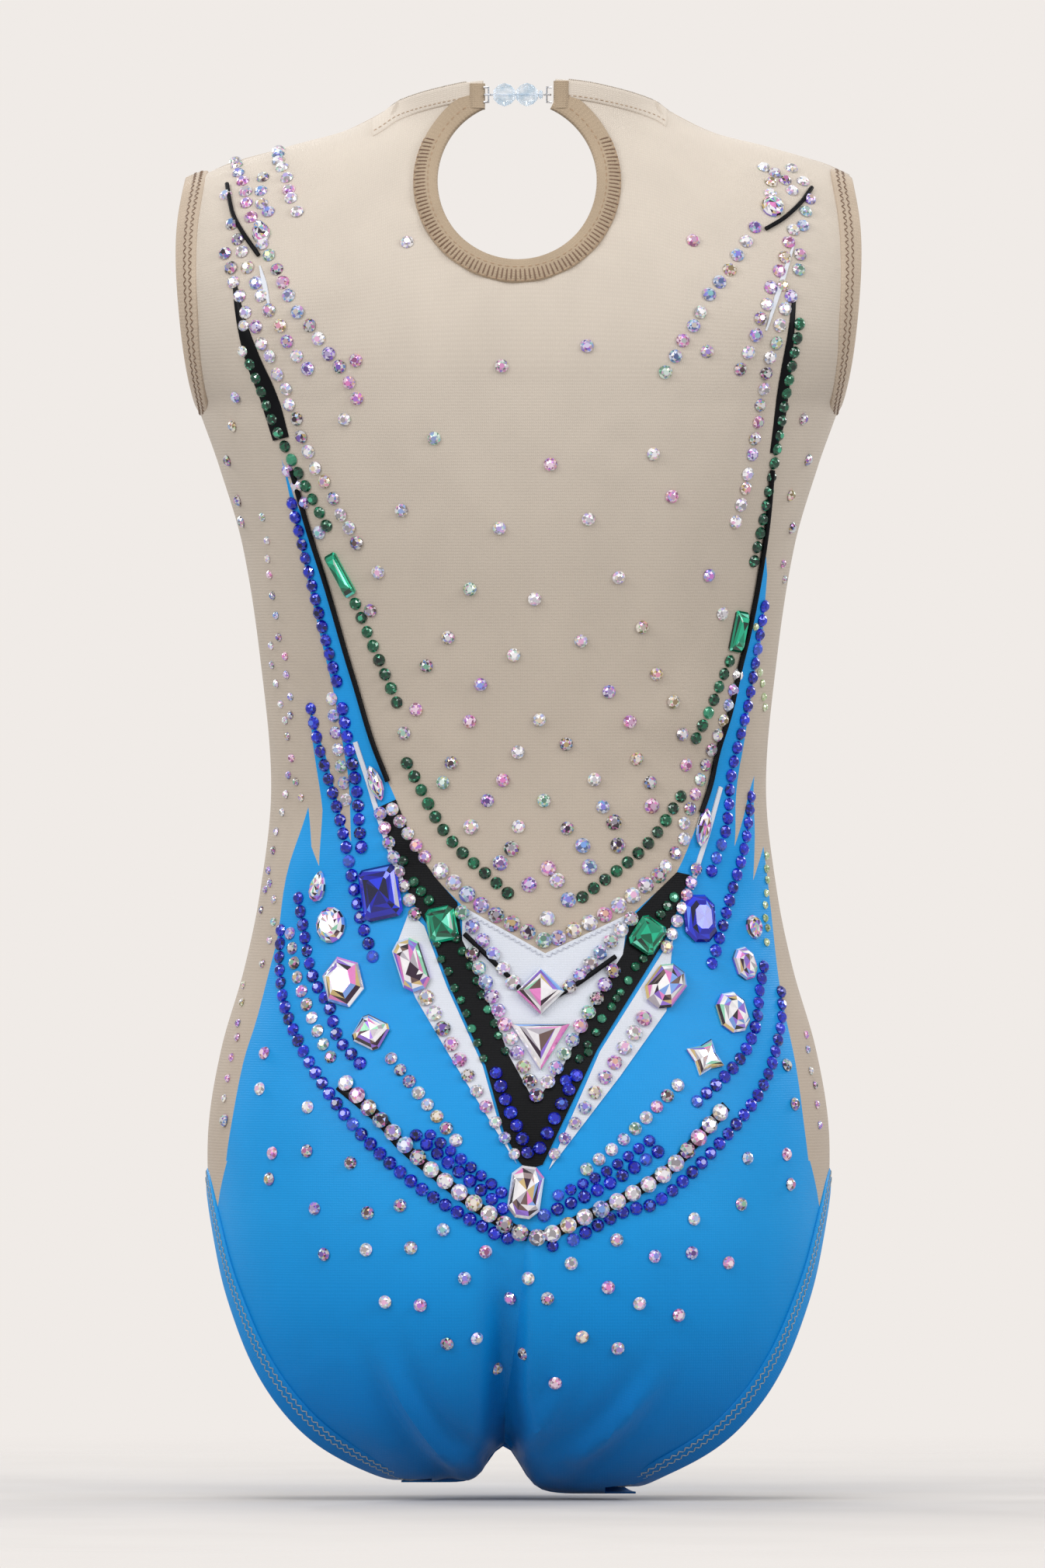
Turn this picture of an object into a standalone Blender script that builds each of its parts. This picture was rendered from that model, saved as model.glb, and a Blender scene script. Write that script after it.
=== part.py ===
"""Sleeveless gymnastics leotard, filled as if worn, one named object for each sewn or fitted piece.

Frame: metres, +Z up. The origin is under the middle of the garment, at the height of its lowest edge. The back of
the garment faces -Y and the front faces +Y, so +X is the wearer's right. Lengths below are in millimetres, measured
from the side seams' plane, and MM and ORIGIN turn them into metres from the origin when a mesh is made.
"""

import math

import bmesh
import bpy
from mathutils import Matrix, Vector

MM = 0.001
# From the middle of the garment's base to the point (0, 0, 0) of the dimensions below.
ORIGIN = Vector((0.0, 7.06, 0.386))

# Driving dimensions of the body form, as (height, value) stations.
HALF_WIDTH = ((-20, 108), (60, 109.5), (100, 110), (130, 110), (158, 105.3), (185, 97.5), (213, 91.7),
              (250, 87.8), (295, 91.6), (336, 98), (364, 106.3), (391, 115.4), (419, 119.5), (446, 120.5),
              (466, 117.5), (500, 112))
BACK_DEPTH = ((-20, 60), (35, 78), (85, 84), (130, 79), (185, 62), (240, 53), (300, 58), (360, 67), (410, 69),
              (460, 60), (505, 50))
FRONT_DEPTH = ((-20, 50), (40, 58), (90, 62), (150, 66), (200, 64), (250, 62), (310, 69), (355, 75), (405, 66),
               (460, 50), (505, 42))
SHOULDER_LINE = ((0, 501), (12, 500.5), (25, 498.8), (45, 493.5), (53, 488.5), (66, 482.3), (86, 476.8),
                 (105, 471.5), (118, 466), (145, 458))
SHOULDER_SHIFT = 3.0
SECTION_POWER = 2.3
ROUNDING_POWER = 2.3
SHOULDER_START = 395.0
ARMHOLE_BOTTOM = 386.0
ARMHOLE_TOP = 466.0
ARMHOLE_FLARE = 0.19
NECK_HALF_WIDTH = 51.0
NECK_BACK_DEPTH = 39.0

# Seat: two buttock lobes with a cleft between them.
SEAT_TURN = 76.0
UNDER_Y = 22.0
CLEFT_X = -5.0
CLEFT_RISE = 14.0
CLEFT_WIDTH = 7.5
CLEFT_DEPTH = 11.0
CLEFT_TOP = 105.0
LEFT_LOBE_RISE = 4.0
FRONT_TURN = 70.0
FRONT_UNDER_Y = 10.0
FRONT_LOW = 18.0
GUSSET_SEAM = 30.0
GUSSET_HALF_WIDTHS = (34.5, 29.0, 29.0, 43.5)

# Cloth, trims and gaps.
CLOTH = 0.8
APPLIQUE = 0.5
GAP = 0.35
APPLIQUE_GAP = 0.65
LAYER_ONE = CLOTH / 2 + APPLIQUE_GAP + APPLIQUE / 2
CORD_RADIUS = 1.0
STRAP_LIFT = LAYER_ONE + 0.8
BINDING_WALL = 0.5
ELASTIC = 0.4
BINDING_ROOM = 0.75
TRIM_CLEARANCE = 2.0
ARM_FRAMES = 12
BACK_GRID = (26, 22)
FRONT_GRID = (16, 18)

# Openings.
KEYHOLE_X, KEYHOLE_Z, KEYHOLE_RADIUS = -0.5, 464.0, 28.8
TAB_EDGE_X = 17.0
TAB_ANGLE = 0.43
KEYHOLE_BINDING_WIDTH = 8.0
NECK_BINDING_WIDTH = 6.0
ARM_BINDING_WIDTH = 8.0
HEM_WIDTH = 9.0
NECK_SIDE_Z = 488.0
FRONT_NECK_LOW = 418.0
FRONT_NECK_HALF = 50.0

# Hem of one leg opening, from the hip down to the gusset, as (x, z).
BACK_HEM = ((110, 108), (109, 101), (107.4, 92), (104.2, 76), (99.7, 62), (94.2, 48), (86, 34), (74, 20.6),
            (60, 11.5), (44, 4.5))
FRONT_HEM = ((110, 108), (108.4, 100), (104, 89), (92, 70), (72, 52), (52, 40), (35, 30))
HIP_SEAM_Z = 118.0
HIP_CORNER = (109.4, 115.5)

# Edges of the blue seat and of the trims on it, as (x, z).
SEAT_LEFT_EDGE = ((-103.4, 118), (-102, 128), (-97.5, 152), (-92, 170), (-85.5, 197), (-82, 218), (-74.7, 243))
SEAT_LEFT_NOTCH = ((-73, 229), (-70, 222))
LEFT_OUTER_FLAME = ((-69.6, 242), (-74.2, 279.4))
LEFT_OUTER_FLAME_INSIDE = ((-68, 261), (-63.4, 242), (-58.8, 230.7))
LEFT_INNER_FLAME = ((-60.5, 255), (-63.4, 274), (-72, 312), (-78, 340), (-83.5, 366))
LEFT_NECKLINE = ((-79, 352), (-73.6, 339), (-67, 318), (-58.5, 288), (-51, 263), (-43.3, 245.6), (-35.5, 226.8),
                 (-29, 217.7), (-19, 207.3))
NECKLINE_POINT = (9.4, 190.6)
CENTRE_SEAM = ((3.2, 96), (CLEFT_X, 30), (CLEFT_X, -40))
RIGHT_NECKLINE = ((39.5, 204.7), (48.6, 212.9), (56, 220), (63, 238), (70.6, 263), (75.5, 280.5), (82, 309),
                  (86.8, 339))
RIGHT_FLAMES = ((87.8, 325), (86.5, 305), (82, 280), (78.5, 258), (76.8, 243), (75.9, 229), (80, 241),
                (83.8, 254), (83.4, 236), (83, 217), (86.6, 229))
SEAT_RIGHT_EDGE = ((89.7, 206), (91, 191), (93.2, 175), (98, 152), (101, 130), (102.5, 118))

V_LEFT_OUTER = ((-49, 243), (-44.6, 228.7), (-38, 210.6), (-32.5, 202), (-24.3, 180), (-11.6, 152), (-5.2, 129),
                (0.3, 118.2))
V_TIP = ((3, 115.5), (8.5, 117.3))
V_RIGHT_OUTER = ((27.6, 157.4), (51.3, 195.6), (55.9, 206.6), (60.5, 219))
V_RIGHT_INNER = ((56, 220), (48.6, 212.9), (39.5, 203.5), (36.7, 191), (30.3, 181), (15.8, 152))
V_INNER_POINT = (5.7, 139)
V_LEFT_INNER = ((-3.4, 155.5), (-15.2, 186.5), (-19.8, 196), (-21.6, 209.3), (-29, 217.7), (-35.5, 226.8),
                (-43.3, 245.6))
WHITE_LEFT_STRIPE = ((-38.5, 206), (-43.4, 193), (-36.2, 175.6), (-24.3, 155.5), (-0.6, 117.5), (-6.2, 129),
                     (-12.6, 151.8), (-25.3, 179.8), (-33.2, 201))
WHITE_RIGHT_STRIPE = ((54.3, 196), (52, 171), (35.8, 148.3), (10.6, 115.5), (28.6, 156.8), (52.2, 194))
INSERT_TOP = ((-18, 206), (9.4, 190), (36.8, 203))
CHEVRON = ((-19, 198), (-2.5, 182), (4.8, 174.5), (15.8, 177.4), (34, 190))
LEFT_CORD = ((-46.1, 252), (-51.1, 266), (-58.5, 290), (-67, 320), (-73.6, 341), (-79.5, 362))
RIGHT_CORD = ((63.8, 241), (67.9, 252), (70.6, 265), (75.5, 282), (82.1, 310), (86.8, 340), (89, 362))
LEFT_STRAP = ((-83.6, 373), (-87.5, 386), (-93.5, 401), (-98.4, 418), (-100.6, 430))
LEFT_STRAP_WIDTH = (7.0, 7.5, 6.0, 3.0, 1.2)
RIGHT_STRAP = ((89.6, 368), (92.3, 380), (94, 393), (96, 411), (97.5, 424))
RIGHT_STRAP_WIDTH = (2.5, 5.0, 4.5, 2.4, 1.2)
LEFT_SHOULDER_CORD = ((-103, 463), (-101, 453), (-97.5, 446), (-91.7, 437.6))
RIGHT_SHOULDER_CORD = ((103.5, 461.5), (99.5, 456), (93.5, 450.5), (87.1, 446.7))
LEFT_ARC = ((-63, 145), (-49, 133.3), (-41, 124), (-28, 113), (-16, 103.5), (-4, 95.8), (3.4, 92.2))
RIGHT_ARC = ((73, 137.5), (62.4, 125.5), (53, 115.6), (38, 106), (24, 99.2), (12, 93.2), (5.6, 92))
ARC_WIDTH = 5.0

# Front of the garment.
FRONT_BLUE_HIP = ((114, 100), (114, HIP_SEAM_Z))
FRONT_BLUE_SIDE = ((103, 124), (94, 165), (84, 205), (78, 250), (80, 300), (87, 350), (93, 392))
FRONT_V = ((84, 366), (64, 335), (40, 306), (18, 288), (0, 281))
FRONT_V_WIDTH = 6.0
FRONT_STRAP = ((94, 398), (98.5, 415), (101.5, 432), (103.4, 448), (103.8, 459))
FRONT_STRAP_WIDTH = (6.0, 5.0, 4.0, 3.2, 2.4)

# Closure at the nape: beads on a core, hinged on the left bar and hooked over the right eye.
CLOSURE_Z = 494.6
HINGE_X, EYE_X = -10.6, 10.0
BAR_RADIUS = 0.45
BAR_HALF_HEIGHT = 2.6
BAR_REACH = 1.75
CORE_RADIUS = 0.4
RING_RADIUS = 1.2
BEAD_HOLE = 0.62
LARGE_BEAD_LENGTH, LARGE_BEAD_HEIGHT, LARGE_BEAD_THICKNESS = 7.8, 9.0, 5.2
LARGE_BEAD_LEFT_X, LARGE_BEAD_RIGHT_X, SMALL_BEAD_X = -5.0, 3.0, 7.85
SMALL_BEAD_SIZE = 3.4
SMALL_BEAD_LENGTH = 1.5

NUDE = (0.62, 0.52, 0.43)
BLUE = (0.02, 0.33, 0.78)
BLACK = (0.006, 0.006, 0.012)
WHITE = (0.86, 0.87, 0.9)
TAN = (0.5, 0.38, 0.27)
CRYSTAL = (0.85, 0.87, 0.92)
SAPPHIRE = (0.01, 0.03, 0.55)
EMERALD = (0.0, 0.3, 0.17)
STEEL = (0.7, 0.7, 0.72)


def clear_scene():
    for item in list(bpy.data.objects):
        bpy.data.objects.remove(item, do_unlink=True)


def new_collection(name):
    collection = bpy.data.collections.new(name)
    bpy.context.scene.collection.children.link(collection)
    return collection


clear_scene()
PARTS = new_collection("gymnastics_leotard")
CUTTERS = new_collection("cutters")


def material(name, color, roughness=0.6, metallic=0.0):
    made = bpy.data.materials.new(name)
    made.use_nodes = True
    shader = made.node_tree.nodes["Principled BSDF"]
    shader.inputs["Base Color"].default_value = (*color, 1.0)
    shader.inputs["Roughness"].default_value = roughness
    shader.inputs["Metallic"].default_value = metallic
    return made


# ---------------------------------------------------------------- curves and the body form


def through(stations, at):
    """Smooth value through (position, value) stations, with flat ends."""
    if at <= stations[0][0]:
        return stations[0][1]
    if at >= stations[-1][0]:
        return stations[-1][1]
    last = len(stations) - 1
    index = next(i for i in range(last) if at <= stations[i + 1][0])
    (x0, y0), (x1, y1) = stations[index], stations[index + 1]
    span = x1 - x0
    slope = (y1 - y0) / span
    before, after = stations[max(index - 1, 0)], stations[min(index + 2, last)]
    m0 = (y1 - before[1]) / (x1 - before[0]) if index else slope
    m1 = (after[1] - y0) / (after[0] - x0) if index + 1 < last else slope
    t = (at - x0) / span
    return ((2 * t**3 - 3 * t**2 + 1) * y0 + (t**3 - 2 * t**2 + t) * span * m0
            + (3 * t**2 - 2 * t**3) * y1 + (t**3 - t**2) * span * m1)


def spline(points, steps=3):
    """Catmull-Rom points along a polyline of tuples of any length."""
    points = [Vector(p) for p in points]
    ends = [points[0] * 2 - points[1]] + points + [points[-1] * 2 - points[-2]]
    result = []
    for i in range(1, len(ends) - 2):
        a, b, c, d = ends[i - 1:i + 3]
        for step in range(steps):
            t = step / steps
            result.append(0.5 * (2 * b + (c - a) * t + (2 * a - 5 * b + 4 * c - d) * t**2
                                 + (3 * b - a - 3 * c + d) * t**3))
    result.append(points[-1])
    return result


def rounded(share, power=ROUNDING_POWER):
    """Quarter of a superellipse: 1 at share 0, falling to 0 at share 1."""
    share = min(max(share, 0.0), 1.0)
    return (1.0 - share**power) ** (1.0 / power)


def smooth_step(value):
    value = min(max(value, 0.0), 1.0)
    return value * value * (3 - 2 * value)


def half_width(z):
    return through(HALF_WIDTH, z)


def form_half_width(z):
    """Half width of the closed section. It is wider than the cloth where the armhole cuts it off."""
    flare = max(0.0, z - ARMHOLE_BOTTOM) / (ARMHOLE_TOP - ARMHOLE_BOTTOM)
    return half_width(z) * (1.0 + ARMHOLE_FLARE * flare * (2.0 - flare))


def shoulder_height(x):
    return through(SHOULDER_LINE, abs(x - SHOULDER_SHIFT))


def seat_low(x):
    """Height of the lowest point of the seat under x."""
    cleft = CLEFT_RISE * math.exp(-((x - CLEFT_X) / CLEFT_WIDTH) ** 2)
    lobe = LEFT_LOBE_RISE * smooth_step((20.0 - x) / 40.0)
    return cleft + lobe


def section(x, z):
    return rounded(abs(x) / form_half_width(z), SECTION_POWER)


def shoulder_rounding(x, z):
    return rounded((z - SHOULDER_START) / (shoulder_height(x) - SHOULDER_START))


def back_y(x, z):
    """Y of the back of the form at (x, z)."""
    depth = through(BACK_DEPTH, z) * section(x, z)
    if z < SEAT_TURN:
        low = seat_low(x)
        depth = UNDER_Y + (depth - UNDER_Y) * rounded((SEAT_TURN - z) / (SEAT_TURN - low))
    if z < CLEFT_TOP:
        fade = smooth_step((CLEFT_TOP - z) / 60.0) * smooth_step((depth - UNDER_Y) / 25.0)
        depth -= CLEFT_DEPTH * fade * math.exp(-((x - CLEFT_X) / 6.5) ** 2)
    if z > SHOULDER_START:
        depth *= shoulder_rounding(x, z)
        neck = NECK_BACK_DEPTH * math.sqrt(max(0.0, 1.0 - ((x - SHOULDER_SHIFT) / NECK_HALF_WIDTH) ** 2))
        depth = (depth**6 + neck**6) ** (1 / 6)
    return -depth


def front_y(x, z):
    """Y of the front of the form at (x, z)."""
    depth = through(FRONT_DEPTH, z) * section(x, z)
    if z < FRONT_TURN:
        turn = rounded((FRONT_TURN - z) / (FRONT_TURN - FRONT_LOW))
        depth = FRONT_UNDER_Y + (depth - FRONT_UNDER_Y) * turn
    if z > SHOULDER_START:
        depth *= shoulder_rounding(x, z)
    return depth


def surface(side):
    return back_y if side < 0 else front_y


def outward(x, z, side):
    """Unit normal of the form at (x, z), pointing away from the body."""
    step = 0.6
    limit = half_width(z) - 1.5
    x = min(max(x, -limit), limit)
    z = min(z, shoulder_height(x) - 1.5)
    height = surface(side)
    dx = (height(x + step, z) - height(x - step, z)) / (2 * step)
    dz = (height(x, z + step) - height(x, z - step)) / (2 * step)
    return Vector((-side * dx, side, -side * dz)).normalized()


def on_form(x, z, side=-1, lift=0.0):
    point = Vector((x, surface(side)(x, z), z))
    return point + outward(x, z, side) * lift if lift else point


# ---------------------------------------------------------------- mesh helpers


def placed(point):
    """Metres from the origin, for a point in the millimetre dimensions."""
    return (point + ORIGIN) * MM


def move_origin(obj, point):
    """Puts the object's own origin at a point of the millimetre dimensions, with its shape left in place."""
    obj.data.transform(Matrix.Translation(-placed(point)))
    obj.location = placed(point)
    return obj


def add_object(name, mesh, look, collection=PARTS):
    made = bpy.data.objects.new(name, mesh)
    collection.objects.link(made)
    if look:
        mesh.materials.append(look)
    return made


def finish_mesh(name, bm):
    """Turns the millimetre mesh into metres from the origin, points its faces out and smooths it."""
    for vertex in bm.verts:
        vertex.co = placed(vertex.co)
    bmesh.ops.recalc_face_normals(bm, faces=bm.faces)
    mesh = bpy.data.meshes.new(name)
    bm.to_mesh(mesh)
    bm.free()
    mesh.shade_smooth()
    mesh.set_sharp_from_angle(angle=math.radians(40))
    return mesh


def grid_mesh(columns, rows, place):
    """Open grid of quads with vertex (column, row) moved to place(across, up), both from 0 to 1."""
    bm = bmesh.new()
    bmesh.ops.create_grid(bm, x_segments=columns, y_segments=rows, size=0.5)
    for vertex in bm.verts:
        vertex.co = place(vertex.co.x + 0.5, vertex.co.y + 0.5)
    return bm


def thicken(obj, thickness):
    """Solidify centred on the surface."""
    modifier = obj.modifiers.new("cloth", "SOLIDIFY")
    modifier.thickness = thickness * MM
    modifier.offset = 0.0
    modifier.use_even_offset = True
    return obj


def inset(outline, distance):
    """Moves each edge of a closed outline inward by distance, for the gap to its neighbour."""
    points = [Vector(p) for p in outline]
    area = sum(a.x * b.y - b.x * a.y for a, b in zip(points, points[1:] + points[:1]))
    turn = 1.0 if area > 0 else -1.0
    result = []
    for i, point in enumerate(points):
        before = (point - points[i - 1]).normalized()
        after = (points[(i + 1) % len(points)] - point).normalized()
        n0 = Vector((-before.y, before.x)) * turn
        n1 = Vector((-after.y, after.x)) * turn
        miter = n0 + n1
        size = max(miter.dot(n1), 0.5)
        result.append(point + miter * (distance / size))
    return result


def hide_cutter(obj):
    obj.hide_render = True
    obj.display_type = "WIRE"
    return obj


def cutter(name, outline, low_y, high_y):
    """Closed prism over an (x, z) outline, hidden, for Booleans."""
    bm = bmesh.new()
    face = bm.faces.new([bm.verts.new((p[0], low_y, p[1])) for p in outline])
    made = bmesh.ops.extrude_face_region(bm, geom=[face])
    new_vertices = [item for item in made["geom"] if isinstance(item, bmesh.types.BMVert)]
    bmesh.ops.translate(bm, verts=new_vertices, vec=(0, high_y - low_y, 0))
    return hide_cutter(add_object(name, finish_mesh(name, bm), None, CUTTERS))


def boolean(obj, other, operation):
    modifier = obj.modifiers.new(other.name, "BOOLEAN")
    modifier.solver = "EXACT"
    modifier.operation = operation
    modifier.object = other


def cloth_top(x, side):
    """Upper edge of the cloth: the shoulder seam, or the lower edge of the neck binding at the back."""
    band = NECK_BINDING_WIDTH + GAP + 0.9 if side < 0 else 0.0
    fade = smooth_step((NECK_HALF_WIDTH + 8 - abs(x - SHOULDER_SHIFT)) / 6)
    return shoulder_height(x) - GAP - band * fade


def half_shell(name, side, columns, rows, look):
    """Cloth over the whole back or front of the form, before its pieces are cut out."""
    low = seat_low if side < 0 else (lambda x: FRONT_LOW)

    def place(across, up):
        spread = math.sin((across - 0.5) * math.pi * 0.985) / math.sin(0.4925 * math.pi)
        share = 0.45 * up + 0.55 * (0.5 - 0.5 * math.cos(math.pi * up))
        x = 100.0 * spread
        for _ in range(5):
            z = low(x) + 0.02 + (cloth_top(x, side) - low(x)) * share
            x = (half_width(z) - 0.05) * spread
        y = surface(side)(x, z) if abs(spread) < 0.999 else 0.0
        seam = GAP + CLOTH / 2
        return Vector((x, min(y, -seam) if side < 0 else max(y, seam), z))

    obj = add_object(name, finish_mesh(name, grid_mesh(columns, rows, place)), look)
    return thicken(obj, CLOTH)


def patch(name, outline, look, side=-1, lift=LAYER_ONE, cell=7.0):
    """Applique cut to an (x, z) outline out of a curved sheet that lies over the cloth."""
    xs = [p[0] for p in outline]
    zs = [p[1] for p in outline]
    low_x, high_x = min(xs) - 2, max(xs) + 2
    low_z, high_z = min(zs) - 2, max(zs) + 2
    columns = max(3, round((high_x - low_x) / cell))
    rows = max(3, round((high_z - low_z) / cell))

    def place(across, up):
        return on_form(low_x + (high_x - low_x) * across, low_z + (high_z - low_z) * up, side, lift)

    obj = add_object(name, finish_mesh(name, grid_mesh(columns, rows, place)), look)
    thicken(obj, APPLIQUE)
    ends = (-130, 0) if side < 0 else (0, 130)
    boolean(obj, cutter(name + "_outline", outline, *ends), "INTERSECT")
    return obj


def ribbon(name, path, widths, look, side=-1, lift=LAYER_ONE, steps=3):
    """Flat band along an (x, z) path on the form."""
    centres = spline(path, steps)
    if not isinstance(widths, (tuple, list)):
        widths = (widths,) * len(path)
    sizes = spline([(w, 0) for w in widths], steps)
    last = len(centres) - 1

    def place(across, up):
        index = round(across * last)
        ahead, behind = centres[min(index + 1, last)], centres[max(index - 1, 0)]
        along = (ahead - behind).normalized()
        point = centres[index] + Vector((-along.y, along.x)) * sizes[index].x * (up - 0.5)
        return on_form(point.x, point.y, side, lift)

    obj = add_object(name, finish_mesh(name, grid_mesh(last, 2, place)), look)
    return thicken(obj, APPLIQUE)


def cord(name, points, radius, look, steps=3):
    """Round cord through 3-D points, as a bevelled curve with filled caps."""
    curve = bpy.data.curves.new(name, "CURVE")
    curve.dimensions = "3D"
    curve.bevel_depth = radius * MM
    curve.bevel_resolution = 1
    curve.use_fill_caps = True
    path = spline(points, steps)
    line = curve.splines.new("POLY")
    line.points.add(len(path) - 1)
    for target, point in zip(line.points, path):
        target.co = (*placed(point), 1.0)
    return add_object(name, curve, look)


def surface_cord(name, path, look, radius=CORD_RADIUS, side=-1):
    lift = CLOTH / 2 + APPLIQUE_GAP + radius
    return cord(name, [on_form(x, z, side, lift) for x, z in path], radius, look)


def sweep(name, path, section_points, closed, look, collection=PARTS):
    """Solid swept along frames (point, into the cloth, outward) with a closed (into, outward) section."""
    bm = bmesh.new()
    rings = []
    for point, into, out in path:
        rings.append([bm.verts.new(point + into * u + out * n) for u, n in section_points])
    count = len(section_points)
    pairs = list(zip(rings, rings[1:]))
    if closed:
        pairs.append((rings[-1], rings[0]))
    for near, far in pairs:
        for i in range(count):
            j = (i + 1) % count
            bm.faces.new((near[i], near[j], far[j], far[i]))
    if not closed:
        bm.faces.new(rings[0])
        bm.faces.new(rings[-1])
    bmesh.ops.triangulate(bm, faces=[f for f in bm.faces if len(f.verts) > 4])
    obj = add_object(name, finish_mesh(name, bm), look, collection)
    if collection is CUTTERS:
        hide_cutter(obj)
    return obj


def binding_section(width):
    """U-shaped section of a folded binding: outer leg, fold at the edge, inner leg."""
    outer = ELASTIC / 2 + BINDING_ROOM
    wall = BINDING_WALL
    return ((width, outer), (width, outer + wall), (-wall, outer + wall), (-wall, -outer - wall),
            (width, -outer - wall), (width, -outer), (0.0, -outer), (0.0, outer))


def elastic_section(width):
    """Flat elastic between the two legs of a binding."""
    half = ELASTIC / 2
    low, high = 0.22 * width, 0.8 * width
    return ((low, half), (high, half), (high, -half), (low, -half))


def frames_along(points, normals, toward, closed):
    """Frames whose second axis lies in the cloth and points to toward(point)."""
    frames = []
    last = len(points) - 1
    for i, point in enumerate(points):
        ahead = points[(i + 1) % len(points)] if closed else points[min(i + 1, last)]
        behind = points[i - 1] if closed else points[max(i - 1, 0)]
        along = (ahead - behind).normalized()
        out = (normals[i] - along * normals[i].dot(along)).normalized()
        into = out.cross(along).normalized()
        if into.dot(toward(point)) < 0:
            into.negate()
        frames.append((point, into, out))
    return frames


def relaxed(vectors, closed, rounds=2):
    """Averages each vector with its neighbours, so a swept section turns evenly."""
    last = len(vectors) - 1
    for _ in range(rounds):
        vectors = [(vectors[i - 1 if closed else max(i - 1, 0)] + vectors[i] * 2
                    + vectors[(i + 1) % len(vectors) if closed else min(i + 1, last)]).normalized()
                   for i in range(len(vectors))]
    return vectors


def evened(points, rounds):
    """Averages each point of a ring with its neighbours, which rounds off sharp turns."""
    for _ in range(rounds):
        points = [(points[i - 1] + points[i] * 2 + points[(i + 1) % len(points)]) / 4 for i in range(len(points))]
    return points


# ---------------------------------------------------------------- sewn cloth


def outer_edge(frames, width):
    """Points (x, z) just past the outer edge of a binding. The clearance grows along it."""
    extra = TRIM_CLEARANCE / len(frames)
    points = [point + into * (width + TRIM_CLEARANCE + extra * i) for i, (point, into, _) in enumerate(frames)]
    return [(p.x, p.z) for p in points]


def leg_cutter(name, side, sign):
    """Prism that removes the cloth outside one leg binding."""
    count = len(spline(BACK_HEM, 2))
    frames = leg_frames(sign)
    frames = frames[2:count + 1] if side < 0 else frames[:-len(spline(FRONT_HEM, 2)) - 1:-1]
    edge = outer_edge(frames, HEM_WIDTH)
    outline = [(sign * 140, HIP_CORNER[1] + 0.5), (sign * HIP_CORNER[0], HIP_CORNER[1])]
    outline += edge + [(edge[-1][0], -40), (sign * 140, -40)]
    ends = (-130, 0) if side < 0 else (0, 130)
    return cutter(name, outline, *ends)


def arm_cutter(name, side, sign):
    """Prism that removes the cloth outside one armhole binding."""
    frames = armhole_frames(sign)
    frames = frames[:ARM_FRAMES] if side < 0 else frames[:ARM_FRAMES - 1:-1]
    edge = outer_edge(frames, ARM_BINDING_WIDTH)
    outline = [(sign * 140, edge[0][1] - 0.5)] + edge + [(edge[-1][0], 500), (sign * 140, 500)]
    ends = (-130, 0) if side < 0 else (0, 130)
    return cutter(name, outline, *ends)


def circle(centre_x, centre_z, radius, count):
    steps = [2 * math.pi * i / count for i in range(count)]
    return [(centre_x + radius * math.sin(a), centre_z + radius * math.cos(a)) for a in steps]


def seat_outline():
    left = list(spline(SEAT_LEFT_EDGE, 2)) + [Vector(p) for p in SEAT_LEFT_NOTCH + LEFT_OUTER_FLAME]
    left += list(spline(LEFT_OUTER_FLAME_INSIDE, 2)) + list(spline(LEFT_INNER_FLAME, 2))
    left += list(spline(LEFT_NECKLINE, 2))
    right = list(spline(RIGHT_NECKLINE, 2)) + [Vector(p) for p in RIGHT_FLAMES] + list(spline(SEAT_RIGHT_EDGE, 2))
    return left, Vector(NECKLINE_POINT), right


def build_back(looks):
    left, point, right = seat_outline()
    lower = [Vector((114, HIP_SEAM_Z)), Vector((114, -40)), Vector((-114, -40)), Vector((-114, HIP_SEAM_Z))]
    blue = left + [point] + right + lower
    seam = [Vector(p) for p in CENTRE_SEAM]
    halves = {
        "seat_panel_left": left + [point] + seam + lower[2:],
        "seat_panel_right": [point] + right + lower[:2] + seam[::-1],
    }
    upper = half_shell("back_mesh_panel", -1, *BACK_GRID, looks["mesh"])
    boolean(upper, cutter("seat_outline", blue, -130, 0), "DIFFERENCE")
    keyhole = circle(KEYHOLE_X, KEYHOLE_Z, KEYHOLE_RADIUS + KEYHOLE_BINDING_WIDTH + GAP, 32)
    boolean(upper, cutter("keyhole_outline", keyhole, -130, 0), "DIFFERENCE")
    slot = [(-TAB_EDGE_X, 484), (TAB_EDGE_X, 484), (TAB_EDGE_X, 520), (-TAB_EDGE_X, 520)]
    boolean(upper, cutter("tab_gap", slot, -130, 0), "DIFFERENCE")
    for suffix, sign in (("_left", -1), ("_right", 1)):
        boolean(upper, arm_cutter("back_arm" + suffix, -1, sign), "DIFFERENCE")
    for name, outline in halves.items():
        panel = half_shell(name, -1, *BACK_GRID, looks["blue"])
        boolean(panel, cutter(name + "_outline", inset(outline, GAP), -130, 0), "INTERSECT")
        sign = -1 if name.endswith("_left") else 1
        boolean(panel, leg_cutter(name + "_leg", -1, sign), "DIFFERENCE")


def front_blue_outline():
    hip = [Vector(p) for p in FRONT_BLUE_HIP]
    half = hip + spline(FRONT_BLUE_SIDE, 2) + spline(FRONT_V, 2)[:-1]
    mirrored = [Vector((-p.x, p.y)) for p in reversed(half)]
    return half + [Vector(FRONT_V[-1])] + mirrored + [Vector((-114, -40)), Vector((114, -40))]


def front_neck_arc(grow=0.0, count=18):
    """Scoop neckline of the front, from the right side of the neck to the left."""
    angles = [math.pi * i / count for i in range(count + 1)]
    drop = NECK_SIDE_Z - FRONT_NECK_LOW + grow
    return [(SHOULDER_SHIFT + (FRONT_NECK_HALF + grow) * math.cos(a), NECK_SIDE_Z - drop * math.sin(a) ** 0.9)
            for a in angles]


def front_neck_outline():
    grow = NECK_BINDING_WIDTH + GAP
    reach = FRONT_NECK_HALF + grow
    return front_neck_arc(grow) + [(SHOULDER_SHIFT - reach, 520), (SHOULDER_SHIFT + reach, 520)]


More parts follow.
